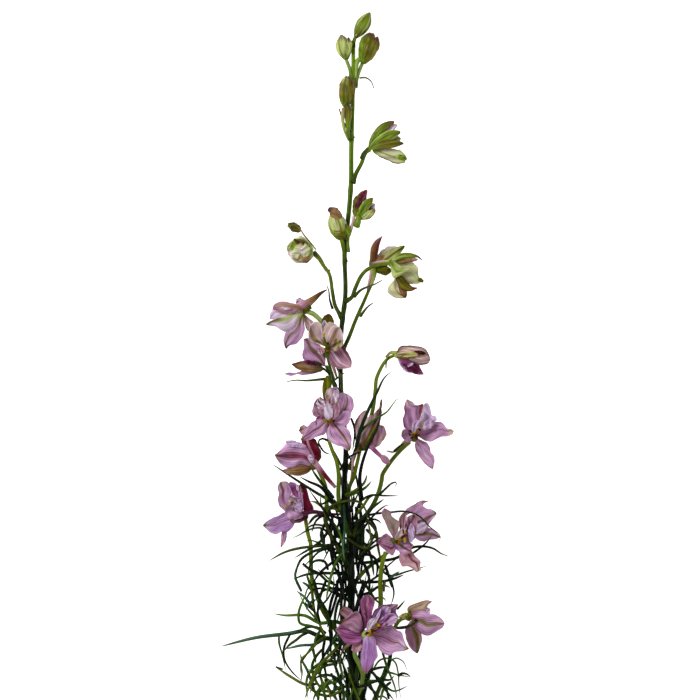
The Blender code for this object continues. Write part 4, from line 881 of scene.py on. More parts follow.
calyx(12, [
    petal((-11, 177, 32), (-10.8, 193, 37.4), ([-13, 182, -14.2, 187, -14, 190, -12.8, 192], [-8.5, 181.5,
        -7.8, 185, -8.5, 190.8, -9.5, 192.5]), "cream olive brown", 1.6, -0.7, rim="maroon", rib="olive moss",
        rib_width=0.3, wave=0.15, fade="maroon"),
    petal((-12.5, 167, 31.6), (-23, 180.5, 36), ([-17.5, 167.7, -21.5, 169.2, -23.5, 170.8, -23, 176.5,
        -23, 178.5], [-12.5, 173.5, -14.5, 177, -18.5, 179.2, -21.2, 181]), "mauve lilac lilac", 1.2, 0.3,
        fade="lilac", rib="brown olive", rib_at=0.2, rib_width=0.2, crease=0.6),
    petal((-12.5, 165.5, 29.6), (-29.1, 168, 32), ([-17, 164, -22.5, 164.1, -28, 166.7], [-16.5, 167.5,
        -21, 169.2, -25, 169.4, -27, 168.7]), "olive tan brown", -1, -0.7, lines="moss", rib="beige tan",
        rib_at=0.1, rib_width=0.25, rim="magenta", rim_side=1),
    petal((-14, 164.7, 28.4), (-32.7, 163.2, 29.6), ([-19, 163, -23.5, 162.5, -26.5, 162.9, -29.5, 162,
        -31.5, 162.5], [-21, 165.5, -25, 164.3, -28, 163.5, -30, 163.9]), "mauve lilac lavender", -0.4, -0.3,
        fade="blush"),
    petal((-11.5, 177, 33), (0.6, 166.5, 36.4), ([-7.5, 179, -4, 177.5, -1, 173.5, 0.8, 169.5], [-11, 173.5,
        -9.5, 169.5, -7, 166.2, -1.5, 165.8]), "mauve mauve rose", 1, -0.4, fade="mauve", rim="maroon",
        rim_side=-1, lines="maroon", rib="white blush", rib_at=0.3, rib_width=0.12),
    petal((-14, 167.8, 34), (-23.5, 169.2, 36.6), 2.4, "brown plum magenta", 0.4, blunt=0.5, nose=0.4),
    seat((-11.8, 173, 32.6), 2, "olive"),
    strand([(-11, 172, 30), (-8.5, 167, 28.6), (-6.5, 161, 26.4)], 1.3, 0.5, "rose tan"),
])
calyx(14, [
    petal((32, 132, 9.4), (28.8, 150.3, 15), ([29.5, 134.2, 27.5, 135.8, 26.6, 141, 27.5, 144, 27, 145.8,
        27.6, 148, 28, 149.5], [33.8, 136, 35, 141, 35.3, 144, 35.5, 147.8, 34, 147.3, 32.5, 147.7, 31.5, 149,
        30, 149.6]), "lilac lilac blush", 1.2, 0.25, fade="lilac", rim="magenta", rim_side=-1, lines="mauve"),
    petal((34, 136, 10), (36.3, 148.2, 14.6), ([34.1, 141, 34.2, 144, 34.8, 146.8], [35.8, 140.5, 36.4, 144,
        36.9, 146.5]), "mauve mauve crimson", 0.8, rib="mauve orange", rib_width=0.4),
    petal((34, 132, 10), (52, 134.2, 14.6), ([35.5, 135, 37.5, 137, 43.5, 139.1, 45.5, 139, 47, 137.8,
        49, 135.6, 50.8, 135.4], [35.5, 130.8, 38.5, 129.2, 41.5, 129.3, 43.5, 130.5, 46.5, 131.6,
        49.5, 131.8, 51.2, 132.8]), "mauve lilac blush", 1.2, 0.3, fade="lilac", rib="magenta mauve",
        rib_width=0.07, lines="mauve", end="cream"),
    petal((33.5, 130.5, 10.6), (41.5, 115.3, 13.4), ([36.5, 129.5, 38.5, 128.5, 40, 126.2, 40.5, 123.8,
        42, 121.8, 42.4, 119.5, 42, 117], [32.5, 127, 35, 121.2, 40, 116]), "mauve lilac lilac", 1.4, 0.3,
        fade="mauve", rib="lavender white", rib_width=0.08, lines="mauve", end="tan"),
    petal((31.5, 131.5, 11), (25.7, 132, 15), ([29.5, 128.6, 27.2, 130], [29, 134.8, 27.7, 135.5,
        26.3, 134.7]), "lilac lilac mauve", 1, fade="mauve"),
    seat((32.3, 130.7, 9.8), 2, "olive"),
    strand([(30, 130, 7.4), (27.3, 128.5, 5.4), (25.5, 126.5, 3.6), (23, 124.7, 2.6)], 1.4, 0.5,
        "mauve rose rose"),
])
calyx(16, [
    petal((-10.5, 142, 32), (-11.5, 162.3, 35.4), ([-12.3, 146, -13.5, 152, -13.8, 155, -12.8, 160.5],
        [-8.7, 147, -9.5, 154, -9.3, 159, -10.1, 161.5]), "cream olive olive", 1.2, -0.7, rim="brown",
        rim_side=-1, rib="pale green", rib_width=0.3, wave=0.1),
    petal((-12, 140.5, 34), (-14.8, 151.6, 38.6), ([-16.5, 141.2, -18.6, 142.8, -18.2, 147.5, -17.2, 149.8,
        -16.1, 151], [-11, 144.5, -11.8, 148, -13.4, 150.5]), "mauve mauve blush", 1.4, 0.4, fade="rose",
        lines="blush", wave=0.4, rim="lilac", rim_side=-1),
    petal((-9.5, 141, 34), (-3, 153.7, 38.8), ([-9.3, 146, -7.5, 150.5, -5.8, 153], [-5, 142, 0, 143,
        1.8, 149.2, 0.3, 152.1]), "mauve lilac lavender", 1.4, 0.25, fade="lilac", wave=0.4, waves=4,
        lines="brown", rib="brown", rib_at=0.3, rib_width=0.08),
    petal((-12, 140, 34), (-17, 137.7, 37), ([-13.5, 137, -15.5, 136.5], [-14.5, 142.3, -16.8, 141]),
        "plum magenta purple", 0.8, 0.4, fade="mauve"),
    petal((-9, 139.7, 34), (0.7, 144, 37.4), ([-6, 142.5, -2.5, 144.7], [-7, 137.5, -3.5, 137, -1, 138,
        0.2, 141]), "lilac lilac lavender", 1, fade="lilac", rib="mauve rose"),
    petal((-11.5, 139.5, 36), (-24.5, 130.2, 39.4), ([-11.2, 136.5, -12.5, 133.2, -16.5, 131.8, -20.2, 130.2],
        [-15.5, 140.6, -18, 139.7, -21.8, 136.1, -23.4, 133.2]), "mauve lilac mauve", 1.4, -0.3, fade="lilac",
        lines="crimson", rib="brown", rib_width=0.1, end="olive", crease=0.4),
    petal((-20.5, 134.5, 37.4), (-25.1, 135.8, 38.2), 5, "mauve rose olive", 0.6, -0.6, blunt=0.5, nose=0.3),
    petal((-9, 139, 37), (-0.2, 124.9, 40), ([-6.5, 138.8, -2.5, 137, 0, 134, 0.8, 130, 0.5, 126.5],
        [-10.8, 136.5, -11.6, 133.5, -11, 130.8, -9.2, 129, -6.5, 127.3, -4, 126.7, -2, 125.3]),
        "mauve lilac mauve", 1.4, -0.35, fade="lilac", rim="lavender", rim_side=1, lines="crimson",
        rib="brown olive", rib_at=-0.3, rib_width=0.12, end="olive"),
    seat((-10.7, 139.5, 34.4), 2, "green"),
    strand([(-11, 138, 31.4), (-11, 134, 30), (-10.5, 129, 28.6)], 1.5, 0.6, "crimson rose"),
])
calyx(18, [
    petal((-24.5, 92.5, 11.6), (-34.5, 109, 14.6), ([-28.5, 91.5, -32.5, 94, -35.5, 97, -36.3, 100,
        -35.7, 102.5, -36.3, 106, -35.5, 108.2], [-27, 98.5, -29.2, 101, -29.7, 104.5, -30.2, 108,
        -31.5, 109.1]), "lilac lilac blush", 1.2, 0.4, fade="mauve", rib="mauve brown", rib_at=-0.3,
        rib_width=0.22),
    petal((-25, 94.5, 13), (-30, 108.9, 16.6), ([-28.5, 99.5, -29.7, 104.5, -30.8, 107.5], [-24.5, 99.5,
        -25.2, 103, -27.2, 108.3]), "lilac magenta violet", 1, fade="lavender", wave=0.5, waves=4,
        crumple=0.7, rim="lilac"),
    petal((-22, 91.5, 14.6), (-24, 108.3, 16.4), ([-23.5, 96, -24, 101, -25.3, 105.5, -25.3, 107.5],
        [-18.3, 95, -20.2, 100, -21.5, 105, -22.6, 107.8]), "plum crimson crimson", -0.8, -0.8, fade="maroon",
        rim="magenta", rim_side=1, lines="maroon", wave=0.2),
    petal((-24, 94, 16), (-25.3, 107.5, 17.4), 2.4, "lilac lilac rose", 0.6, -0.5, sway=0.2, rib="lilac moss",
        rib_width=0.2, blunt=0.5),
    petal((-24, 91, 11), (-43.7, 87, 13.4), ([-27, 89.3, -28.8, 86, -31, 84, -34.5, 83.8, -37.5, 82.5,
        -39.7, 83.3, -42, 85.2], [-27, 92, -32.5, 93.7, -35.5, 92.2, -40, 90.3, -42.5, 88.5]),
        "magenta violet lavender", 1.2, 0.3, fade="lavender", lines="mauve", rib="lilac tan", rib_width=0.08,
        end="olive", crease=0.4),
    petal((-28.5, 90.5, 10.6), (-34.7, 75.9, 10.6), ([-29.2, 86.5, -31.3, 84, -32, 80, -33, 77.8], [-33, 88,
        -34.3, 83.5, -34.8, 79]), "lilac lilac rose", 0.8, -0.4, fade="lilac", rib="lilac rose",
        rib_width=0.2),
    petal((-23, 90.2, 10.6), (-30, 89.5, 11.6), 3.6, "magenta mauve tan", 0.6, blunt=0.5, nose=0.4),
    seat((-22.8, 91.5, 11.4), 2, "maroon"),
    strand([(-23.5, 93, 15.4), (-20.5, 93.8, 16.6), (-9.5, 92.8, 16.6), (-4.2, 92.6, 16)], 1.3, 0.5,
        "plum plum plum crimson maroon tan"),
])
calyx(19, [
    petal((22.5, 80.5, 27), (17.2, 96, 32), ([20.5, 83, 19, 85.5, 17.5, 89.2, 16, 92.5, 15.8, 94.2], [24, 85,
        24.9, 89, 22.2, 90.9, 20.7, 92.5, 20.2, 94.5, 18.7, 95.3]), "mauve ash mauve", 1.4, 0.3, fade="mauve",
        rim="mauve", lines="beige"),
    petal((23, 79.5, 27.6), (13.8, 79.2, 31.6), ([23.2, 77.5, 22.5, 74.5, 21.2, 72.5, 19.5, 73.3, 17, 75.5,
        14.8, 77.5], [20.7, 81.5, 18, 83.4, 16.2, 82.3, 14.7, 80.5]), "magenta mauve magenta", 1.4, 0.4,
        fade="purple", lines="purple", rib="plum magenta", rib_at=-0.35, rib_width=0.12, rim="mauve"),
    petal((25.5, 79, 26.6), (27.6, 93.3, 29.4), ([24.8, 86, 25, 90.3, 26.2, 92.2], [28.3, 86, 28.7, 91]),
        "mauve mauve mauve", 0.8, 0.3, rim="olive", rim_side=-1),
    petal((26, 77.5, 27.4), (33.5, 64.1, 29.6), ([29.5, 76.3, 31.5, 73.8, 33, 71.5, 35.2, 69.5, 35, 67,
        35.3, 65.1], [25.3, 74.5, 24.5, 72, 25.1, 68.5, 25.8, 67.2, 29, 66.9, 31.2, 65.8, 32.5, 64.5]),
        "mauve rose blush", 1, -0.4, fade="beige", lines="mauve", rib="crimson brown", rib_at=-0.4,
        rib_width=0.16),
    petal((23, 79, 29), (30.5, 74.5, 31), 7, "purple lilac mauve", 0.8, sway=0.6, blunt=0.5, nose=0.3,
        rib="olive crimson", rib_width=0.16),
    petal((27, 77, 28.4), (31.5, 77.5, 30), 4, "rose lilac blush", 0.6, wave=0.5, blunt=0.5),
    seat((22.8, 79, 27.6), 2, "leaf"),
    strand([(21, 81, 31), (23.3, 78.8, 32), (26.5, 77, 32)], 0.7, 0.4, "olive brown"),
])
calyx(21, [
    petal((6, 35, 28), (-4.2, 45.8, 30.4), ([0, 39.7, -3.3, 42, -5, 44], [2.5, 42.5, 0.3, 45.5, -2, 46.9]),
        "plum mauve tan", 0.8, fade="mauve"),
    petal((7.5, 36, 30), (9, 52.9, 35), ([6.8, 40, 5.8, 44, 5.7, 51, 6.8, 52.2], [9.2, 38, 10.5, 41, 11, 44,
        11.8, 47, 12.4, 49.2, 10.7, 52.2]), "magenta magenta mauve", 1.6, 0.3, fade="magenta", lines="rose",
        rib="brown rose", rib_width=0.1, crease=0.6),
    petal((9, 36, 30), (23.9, 48.2, 35.4), ([11, 41, 11.5, 44, 14, 46.5, 16, 47.7, 20, 48.2], [14, 36.5,
        17, 37.8, 21, 38.2, 23.2, 39.5, 24, 42, 23, 44]), "plum purple mauve", 1.4, 0.4, wave=0.4, waves=4,
        crumple=0.7, rib="magenta brown"),
    petal((6.5, 33.5, 29.6), (-7.2, 35.6, 33), ([5.5, 29.5, 1, 28.2, -2.5, 29.1, -4.8, 32], [2.5, 39,
        -2.5, 39.2, -5.3, 37.8]), "purple magenta mauve", 1.4, 0.3, crumple=0.5, fade="purple", lines="lilac",
        rib="purple lilac"),
    petal((6.5, 35, 31.2), (-4.6, 40.2, 35), ([5, 34, 0, 35.5, -3.5, 37.8], [6, 40.5, 4, 44.5, 1.5, 44.2,
        -1.5, 41.9]), "plum mauve tan", 1.4, 0.3, crumple=0.5, fade="rose", lines="lilac", rib="purple rose",
        end="brown"),
    petal((6, 30, 28.6), (1.5, 24.5, 30), 5, "magenta rose rose", 0.6, blunt=0.5, nose=0.4),
    petal((10, 32.5, 30.6), (29.3, 26, 34.6), ([13.5, 35.2, 16.5, 37.5, 20.5, 37.8, 23.3, 35.5, 25.8, 34,
        26.8, 31, 27.8, 28.3], [12.5, 29, 14.5, 26, 16.5, 23.6, 20, 22.8, 22.5, 24.5, 25, 24.6, 27.5, 25.1]),
        "magenta lilac lavender", 1.4, 0.3, fade="violet", lines="mauve", rib="magenta olive", rib_width=0.1,
        crease=0.5, end="tan"),
    petal((8.5, 32.5, 31.6), (7.5, 13.2, 35.4), ([11.5, 32.2, 13.2, 29, 13.3, 25.5, 13.9, 22.5, 12.5, 20,
        11.2, 17.5, 9.5, 15], [6.8, 31, 6.2, 27, 5.4, 23, 6.2, 16]), "lavender violet magenta", 1.6, -0.3,
        fade="mauve", lines="purple", rib="purple magenta", rib_width=0.08, end="olive"),
    seat((7.8, 33, 29.8), 2.2, "pale"),
    strand([(5.5, 32, 27.4), (2, 30, 26.6), (-1, 27.5, 25.8), (-4, 24.2, 25)], 1.4, 0.5, "rose beige brown"),
])

# ------------------------ inner petals
# Inside each open flower stand a few small true petals, paler and more crumpled than the sepals. In
# two flowers a thin pure white strip among them is a painted highlight. They stand up round the stamens.

petal_skin = plant_skin("petal_skin", across=11, along=1.4, depth=0.9, blotch=0.8, rough=0.38, bump=0.5)


def corolla(number, parts):
    """The inner petals of one flower, as a piece."""
    fix(piece(f"flower_{number:02d}_petals", parts, petal_skin), "petals", f"petals_{number:02d}")


corolla(12, [
    petal((-12, 177.5, 34.4), (-12.7, 189.7, 39.4), 4.8, "blush white white", 1, blunt=0.5, fade="white"),
    petal((-12.5, 177, 35.4), (-19.7, 187, 39.6), ([-16, 178.2, -20, 179.5, -20.7, 183], [-13.3, 181.5,
        -13.6, 186, -15.5, 189, -18.2, 188.8]), "tan blush white", 1.6, fade="cream", rim="blush",
        crumple=0.7, rib="olive tan", rib_at=-0.5, rib_width=0.25),
    petal((-11.5, 176, 36), (-5, 186, 40.4), ([-13.3, 180.5, -13, 185.8, -10.5, 188.8, -7.5, 188], [-8.5, 175,
        -5, 175.8, -3.3, 179.5, -3.7, 183.5]), "beige blush white", 1.2, 0.4, wave=0.4, waves=4, crumple=0.9,
        fade="cream", rib="tan", rib_width=0.15),
    petal((-11.5, 176, 37), (-4.5, 179.5, 40.6), 6, "tan beige cream", 1, 0.4, sway=0.8, blunt=0.45, nose=0.5,
        wave=0.5, crumple=0.9, lines="rose", rib="brown olive", rib_width=0.3),
    petal((-13.5, 176.5, 35), (-15, 173, 37.4), 3.6, "blush rose white", 0.8, blunt=0.5, nose=0.4, wave=0.5),
    strand([(-13.2, 181.5, 41), (-12, 178, 41), (-10.7, 175.3, 40)], 0.5, 0.9, "olive moss"),
])
corolla(14, [
    petal((34.5, 133, 11.6), (38.5, 148.6, 15.6), ([35.3, 140, 36.4, 145, 37, 147.8], [37, 135, 39.5, 137.5,
        41.5, 138.8, 43.6, 140, 43, 141.8, 41.2, 142, 40.5, 144, 40, 147]), "lilac lavender white", 1, 0.2,
        fade="white", wave=0.5, waves=4, crumple=0.7),
    petal((35, 135.5, 13.6), (42, 139.2, 15.6), 4.6, "mauve lavender lilac", 0.8, blunt=0.45, nose=0.4,
        wave=0.5, crumple=0.6),
    petal((31.5, 133, 13.4), (34.8, 139.6, 16.6), ([30.9, 136.5, 31.9, 138.8, 33.3, 139.5], [33, 134.5,
        34.4, 137]), "lavender lavender white", 0.8, fade="white"),
    # A thin pure white strip: a painted highlight on the petals, not a petal of its own.
    petal((35, 139, 15), (37, 144.2, 16.6), 1.5, "white white white", 0.3, -0.6, fade="white"),
    petal((33.5, 132, 13), (35.3, 136.5, 16), 3, "mauve mauve lavender", 0.6, sway=0.4),
])
corolla(16, [
    petal((-9.5, 144, 34.4), (-7, 156.4, 37.6), ([-11.5, 149, -12.2, 153, -10.8, 155.7], [-6.2, 148.5,
        -5.6, 152, -5.7, 155]), "blush blush lavender", 1.2, fade="blush", wave=0.5, crumple=0.7, rib="brown",
        rib_at=0.3, rib_width=0.16),
    petal((-9.5, 140.5, 36.4), (-6, 149.2, 39.6), 5.2, "mauve mauve rose", 1, 0.6, sway=0.8, widest=0.55,
        blunt=0.45, nose=0.3),
    petal((-10.8, 139.8, 37.4), (-11, 148.8, 40.6), ([-12.7, 142, -13, 145, -12.4, 147.5], [-8.7, 142,
        -8.5, 145, -9.5, 147.6]), "lavender white lavender", 1, -0.6, fade="white", wave=0.15, crumple=0.12),
    petal((-11.5, 146, 37.4), (-9.3, 151.7, 39.4), 3.4, "blush rose blush", 0.6, wave=0.4, crumple=0.5,
        blunt=0.5, rib="brown rose", rib_width=0.2),
    petal((-13, 145.5, 38), (-15.8, 150.2, 40), 4.4, "rose white blush", 0.6, wave=0.6, crumple=0.9,
        blunt=0.5, nose=0.4, fade="white", rib="white brown", rib_width=0.2),
    petal((-8.5, 148, 37.6), (-6.2, 154.8, 39.4), 3.6, "blush white lavender", 0.6, wave=0.6, crumple=0.8,
        blunt=0.5, nose=0.4, fade="white"),
])
corolla(18, [
    petal((-23.5, 91.5, 13.4), (-32.2, 97, 16.4), ([-26.5, 90.2, -30, 90.5, -32.7, 93.8], [-24.2, 98,
        -27, 101.2, -30.5, 100.2]), "mauve lilac lilac", 1.2, 0.4, fade="lavender", wave=0.4, waves=4,
        crumple=0.8),
    petal((-25.5, 95, 15.4), (-30.2, 102, 18), 5.2, "mauve lavender white", 0.8, sway=0.8, wave=0.5,
        crumple=0.7, blunt=0.5, nose=0.4, rib="white purple"),
    petal((-25, 93.5, 15.6), (-27, 100, 17.8), 4.4, "lilac lavender lilac", 0.6, wave=0.4, crumple=0.6,
        blunt=0.5, nose=0.4),
    # A thin pure white strip: a painted highlight on the petals, not a petal of its own.
    petal((-26, 104.5, 17.4), (-26.5, 107.8, 17.8), 1.5, "white white white", -0.3, -0.6, fade="white"),
])
corolla(19, [
    petal((23, 79.5, 29.6), (28.1, 92.7, 33.4), ([22.4, 81, 24, 84.5, 26.8, 87, 27.5, 90.8], [25, 81,
        27.5, 83.7, 28.5, 87.5, 28.6, 91]), "blush blush white", 1, fade="white", rim="white", rim_side=-1),
    petal((27.5, 78.5, 29), (32, 93.2, 32.4), ([27.5, 85, 28, 90, 29.7, 92.5], [31, 79.5, 33.5, 88,
        33.7, 91.5]), "lilac mauve rose", 1, fade="rose", wave=0.5, waves=4, crumple=0.9, rib="lavender plum",
        rib_width=0.3),
    petal((30.5, 79, 30.6), (30.7, 88.5, 33), 3.4, "lavender lavender lilac", 0.6, 0.6, fade="lavender"),
    petal((27, 79.5, 30), (28.7, 90, 32.6), 3.4, "mauve plum mauve", 0.6, wave=0.5, crumple=0.6),
])
corolla(21, [
    petal((8.3, 34, 33.4), (15.4, 46.1, 38.4), ([8.7, 38, 10, 40.8, 12.5, 41.6, 14, 44], [10.7, 36.5,
        13.2, 39.5, 14.9, 43]), "lavender white white", 1.2, 0.7, fade="white", wave=0.2),
    petal((10.5, 36, 32.6), (23.8, 41.5, 37.4), ([14, 40, 18.5, 43.3, 22, 43.5], [15, 36.5, 19, 37.5,
        22.5, 38.8]), "mauve lilac lavender", 1.2, 0.4, fade="lavender", wave=0.4, waves=4, crumple=0.9),
    petal((10.5, 36.5, 33), (19.5, 47, 37), 6.4, "purple purple lavender", 1, sway=0.4, blunt=0.45, nose=0.4,
        wave=0.5, waves=4, crumple=0.8),
    petal((10.5, 34, 33.6), (18, 39, 36.4), 4.4, "plum magenta lilac", 0.8, wave=0.4, crumple=0.7),
])

# ------------------------ stamens
# Short pale threads in the heart of the open flowers, each carrying a two-lobed anther dusted with gold
# pollen; a few have dried brown.

GOLD, OLD_GOLD, DRIED = (206, 172, 20), (150, 108, 10), (84, 42, 14)
THREAD, THREAD_FOOT, THREAD_HEAD, THREAD_SIDES = (170, 160, 90), 0.28, 0.18, 6
KNEE_ASIDE, KNEE_ALONG, KNEE_UP = 0.4, 0.3, 0.6
ANTHER_LENGTH, ANTHER_RADIUS, ANTHER_TILT, ANTHER_ROWS, ANTHER_SIDES = 1.9, 0.62, 0.35, 8, 12
LOBES, GROOVE, FIRST_TURN, NEXT_TURN = 2, 0.22, 0.9, 1.7
# Flower: where its threads start, then each anther's place and colour.
STAMENS = {
    12: ((-12, 174, 34), [((-13.1, 182.7, 41.2), GOLD), ((-12, 177, 40.2), OLD_GOLD), ((-11.3, 178, 39.4),
        DRIED), ((-12.4, 175.5, 39.4), OLD_GOLD), ((-11.2, 175.2, 38.6), GOLD)]),
    14: ((32.5, 131.5, 11), [((36.4, 137.8, 18.4), GOLD), ((34.8, 135.1, 17.6), DRIED), ((33.2, 133.7, 17.2),
        OLD_GOLD), ((31.7, 132.4, 16.6), OLD_GOLD), ((32.8, 132.2, 17.2), DRIED), ((34.1, 132.2, 17), DRIED),
        ((33.5, 130.9, 16.6), DRIED), ((32.2, 133.6, 17), GOLD), ((30.2, 134.3, 16.8), DRIED),
        ((31, 131.1, 16.4), DRIED), ((29.9, 132.7, 16.4), DRIED)]),
    16: ((-10.5, 139, 36), [((-13.2, 140.2, 40), (150, 150, 20)), ((-12, 140, 40.4), (150, 150, 30)),
        ((-10, 140.1, 40.6), OLD_GOLD), ((-9.2, 139.2, 40.4), (150, 84, 20)), ((-8.3, 139.5, 40.2), DRIED),
        ((-10.5, 138.3, 40), (130, 110, 20))]),
    18: ((-25, 94, 12), [((-29.6, 99.3, 18.4), GOLD), ((-31.8, 96.5, 17.6), GOLD), ((-29, 98.3, 17.6),
        OLD_GOLD)]),
    19: ((22.5, 79.5, 29), [((27.7, 83.5, 34.4), OLD_GOLD), ((27.2, 82.3, 34.2), DRIED), ((26.1, 81.7, 34),
        DRIED), ((27.1, 80.8, 33.8), GOLD), ((27.4, 79.7, 33.6), GOLD), ((25.3, 80, 33.4), OLD_GOLD),
        ((24.4, 79.3, 33.2), OLD_GOLD), ((23.4, 79.7, 33), DRIED)]),
    21: ((7.5, 33, 31), [((13.2, 38.7, 38.8), OLD_GOLD), ((14.3, 37.8, 38.6), GOLD), ((14.5, 36.8, 38.2),
        DRIED), ((11.3, 35.3, 38), DRIED), ((9.8, 35, 37.8), GOLD), ((12.4, 34.1, 37.6), OLD_GOLD),
        ((10.5, 33.2, 37.4), OLD_GOLD), ((8.5, 34, 37.2), DRIED), ((9.3, 32.8, 37), GOLD)]),
}


def anther(centre, colour, turn):
    """A two-lobed pollen sac: a short rod whose radius is a power of a half sine, with a deep groove on both
    sides, turned by an angle round the upright."""
    at = np.linspace(0.04, 0.96, ANTHER_ROWS)
    way = np.array([math.cos(turn), math.sin(turn), ANTHER_TILT])
    middle = np.asarray(centre, float) + unit(way) * ((at - 0.5) * ANTHER_LENGTH)[:, None]
    radius = ANTHER_RADIUS * np.sin(np.pi * at) ** 0.45
    return tube(middle, radius, light(colour), ANTHER_SIDES, ribs=LOBES, rib_depth=GROOVE, seed=turn % 1)


pollen_skin = plant_skin("pollen_skin", across=9, along=6, depth=0.35, blotch=0.8, rough=0.7, bump=0.8)
stamens = []
for foot, anthers in STAMENS.values():
    for k, (head, colour) in enumerate(anthers):
        foot_point, head_point = np.array(foot), np.array(head)
        knee = (foot_point + head_point) / 2 + (KNEE_ASIDE * (-1) ** k, KNEE_ALONG, KNEE_UP)
        thread = [foot_point, knee, head_point]
        stamens.append(rod(thread, THREAD_FOOT, THREAD_HEAD, [THREAD, THREAD], sides=THREAD_SIDES))
        stamens.append(anther(head_point, colour, FIRST_TURN + NEXT_TURN * k))
fix(piece("stamens", stamens, pollen_skin), "petals")

# ------------------------ bracts on the stalks
# Thin thread-like bracts where the flower stalks leave the stem, and small paired ones halfway up them.
# They are green with brown or maroon tips.

GREEN_BRACT = [(62, 84, 18), (70, 92, 30), (96, 108, 60)]
DARK_BRACT = [(20, 36, 10), (30, 50, 16), (60, 70, 30)]
BROWN_BRACT = [(110, 120, 70), (120, 100, 80), (130, 100, 96)]
BRACT_SIDES = 7
# Colours, radius at the foot and at the tip, and the line each bract follows.
BRACTS = [
    (BROWN_BRACT, 0.5, 0.25, [(4.8, 311.6, 7.6), (8, 311.7, 8.4), (10.5, 310, 8), (12, 306.5, 6.6)]),
    (BROWN_BRACT, 0.5, 0.2, [(3.3, 310, 7.4), (4, 308, 7.8)]),
    (GREEN_BRACT, 0.75, 0.35, [(0.5, 284.5, 13.6), (-2, 287, 14.6), (-5.5, 296, 15.6)]),
    (BROWN_BRACT, 0.5, 0.2, [(-2, 296, 17.4), (0, 294, 17.6), (1.2, 297, 17.4)]),
    (GREEN_BRACT, 1.2, 0.5, [(5.8, 271, 14), (6.8, 273.8, 15), (9, 276.3, 15)]),
    (DARK_BRACT, 0.7, 0.25, [(-8.7, 195.5, 22.6), (-10.2, 200.5, 22), (-10.7, 205, 21.4), (-11.5, 207, 21)]),
    (GREEN_BRACT, 0.9, 0.25, [(2, 201.5, 22.4), (5, 204.7, 23.4), (13, 208.2, 24), (16, 209.9, 23.6)]),
    (GREEN_BRACT, 0.9, 0.25, [(5, 191.7, 18), (9.3, 197, 18.6), (11.8, 198.7, 18)]),
    (GREEN_BRACT, 1, 0.35, [(-8.2, 160.5, 33), (-9.5, 165, 36.4), (-12.5, 174.5, 39.6)]),
    (DARK_BRACT, 0.7, 0.3, [(-9.5, 162.5, 33.4), (-13, 165.5, 36.4), (-18, 169.7, 37.6)]),
    (DARK_BRACT, 0.9, 0.4, [(-7, 157, 26), (-9.5, 162, 30.4), (-12, 167, 33.6)]),
    (GREEN_BRACT, 0.8, 0.35, [(-5, 153, 25.6), (-4, 159, 27), (-7, 167, 27)]),
    (GREEN_BRACT, 0.8, 0.35, [(-4.5, 153.5, 25.8), (-8, 158, 27.8), (-9.5, 161, 28.6), (-8.5, 164, 29)]),
    (GREEN_BRACT, 0.7, 0.3, [(-10.5, 158, 29), (-7, 160.5, 29.8), (-3, 163.5, 29.4)]),
    (GREEN_BRACT, 0.8, 0.25, [(-12.5, 160.5, 26), (-23, 159.7, 25), (-27, 159.9, 24.2),
        (-31.5, 159.2, 23.4)]),
    (GREEN_BRACT, 0.5, 0.3, [(19.5, 171.5, 25.4), (18.2, 169, 25.4), (18, 166, 24.8)]),
    (GREEN_BRACT, 0.5, 0.35, [(22, 124.3, 7), (24.5, 126.5, 7.6), (26.8, 128.2, 7.6)]),
    (BROWN_BRACT, 0.8, 0.3, [(27, 128, 7.4), (21.5, 123.7, 6.6), (18.5, 124.3, 5.6)]),
    (BROWN_BRACT, 0.4, 0.2, [(12.5, 139.5, 34), (14, 143, 35.6), (15.5, 148, 36.2)]),
    (DARK_BRACT, 0.7, 0.35, [(-11, 129.7, 30), (-14, 130.8, 31), (-15.8, 129.5, 31), (-15, 127.3, 30.4)]),
    (DARK_BRACT, 0.9, 0.4, [(33.5, 40, 13), (30.8, 37.3, 13), (23.5, 35.7, 10)]),
    (BROWN_BRACT, 0.5, 0.2, [(-10, 215, 15.6), (-11.8, 214.5, 15.4), (-13.3, 216, 15)]),
]
leaf_skin = plant_skin("leaf_skin", across=3, along=9, depth=0.5, blotch=0.5, rough=0.46, bump=0.3)
bracts = [
    rod(line, start, end, colours, sides=BRACT_SIDES, seed=k / len(BRACTS))
    for k, (colours, start, end, line) in enumerate(BRACTS)
]
fix(piece("bracts", bracts, leaf_skin), "leaf")

# ------------------------ feathery leaves
# Larkspur leaves are split again and again into threads a millimetre wide. The long ones below are set one
# by one; each is a thread from the stem with side threads growing from it.

BLACK = [(6, 12, 4), (10, 20, 8), (16, 34, 12)]
DARK = [(12, 28, 4), (24, 50, 9), (44, 72, 18)]
GREEN = [(44, 68, 10), (74, 108, 24), (108, 138, 58)]
OLIVE = [(66, 80, 4), (92, 106, 8), (116, 122, 32)]
MOSS = [(44, 54, 4), (66, 76, 8), (88, 92, 22)]
BLUE = [(30, 58, 34), (56, 92, 62), (92, 118, 92)]
TAN = [(70, 80, 20), (120, 112, 50), (130, 110, 70)]
# The side a blade turns its flat face to, how flat it is, and the share of its width that tip and foot lose.
BLADE_UP, BLADE_FLAT, TIP_LOSS, FOOT_LOSS, FOOT_FADE = (0.15, 0.1, 1.0), 0.5, 0.8, 0.25, 12
BLADE_STEP, BLADE_LEAST, BLADE_SIDES = 1.3, 7, 6
THREAD_SEEDS, LEAF_SEEDS = 9, 90


def blade(line, start, end, colours, seed=0.0, step=BLADE_STEP, sides=BLADE_SIDES):
    """A leaf thread: a flat tube, narrower at the foot by an exponential of the length, and closing at the
    tip by its eighth power."""
    line = np.asarray(line, float)
    length = np.linalg.norm(np.diff(line, axis=0), axis=1).sum()
    count = max(int(length / step), BLADE_LEAST)
    at = np.linspace(0, 1, count)
    radius = (start + (end - start) * at) * (1 - TIP_LOSS * at**8) * (1 - FOOT_LOSS * np.exp(-at * FOOT_FADE))
    path, tint = smooth_line(line, count), shades_along(colours, count)
    return tube(path, radius, tint, sides, BLADE_FLAT, seed, axis=BLADE_UP)


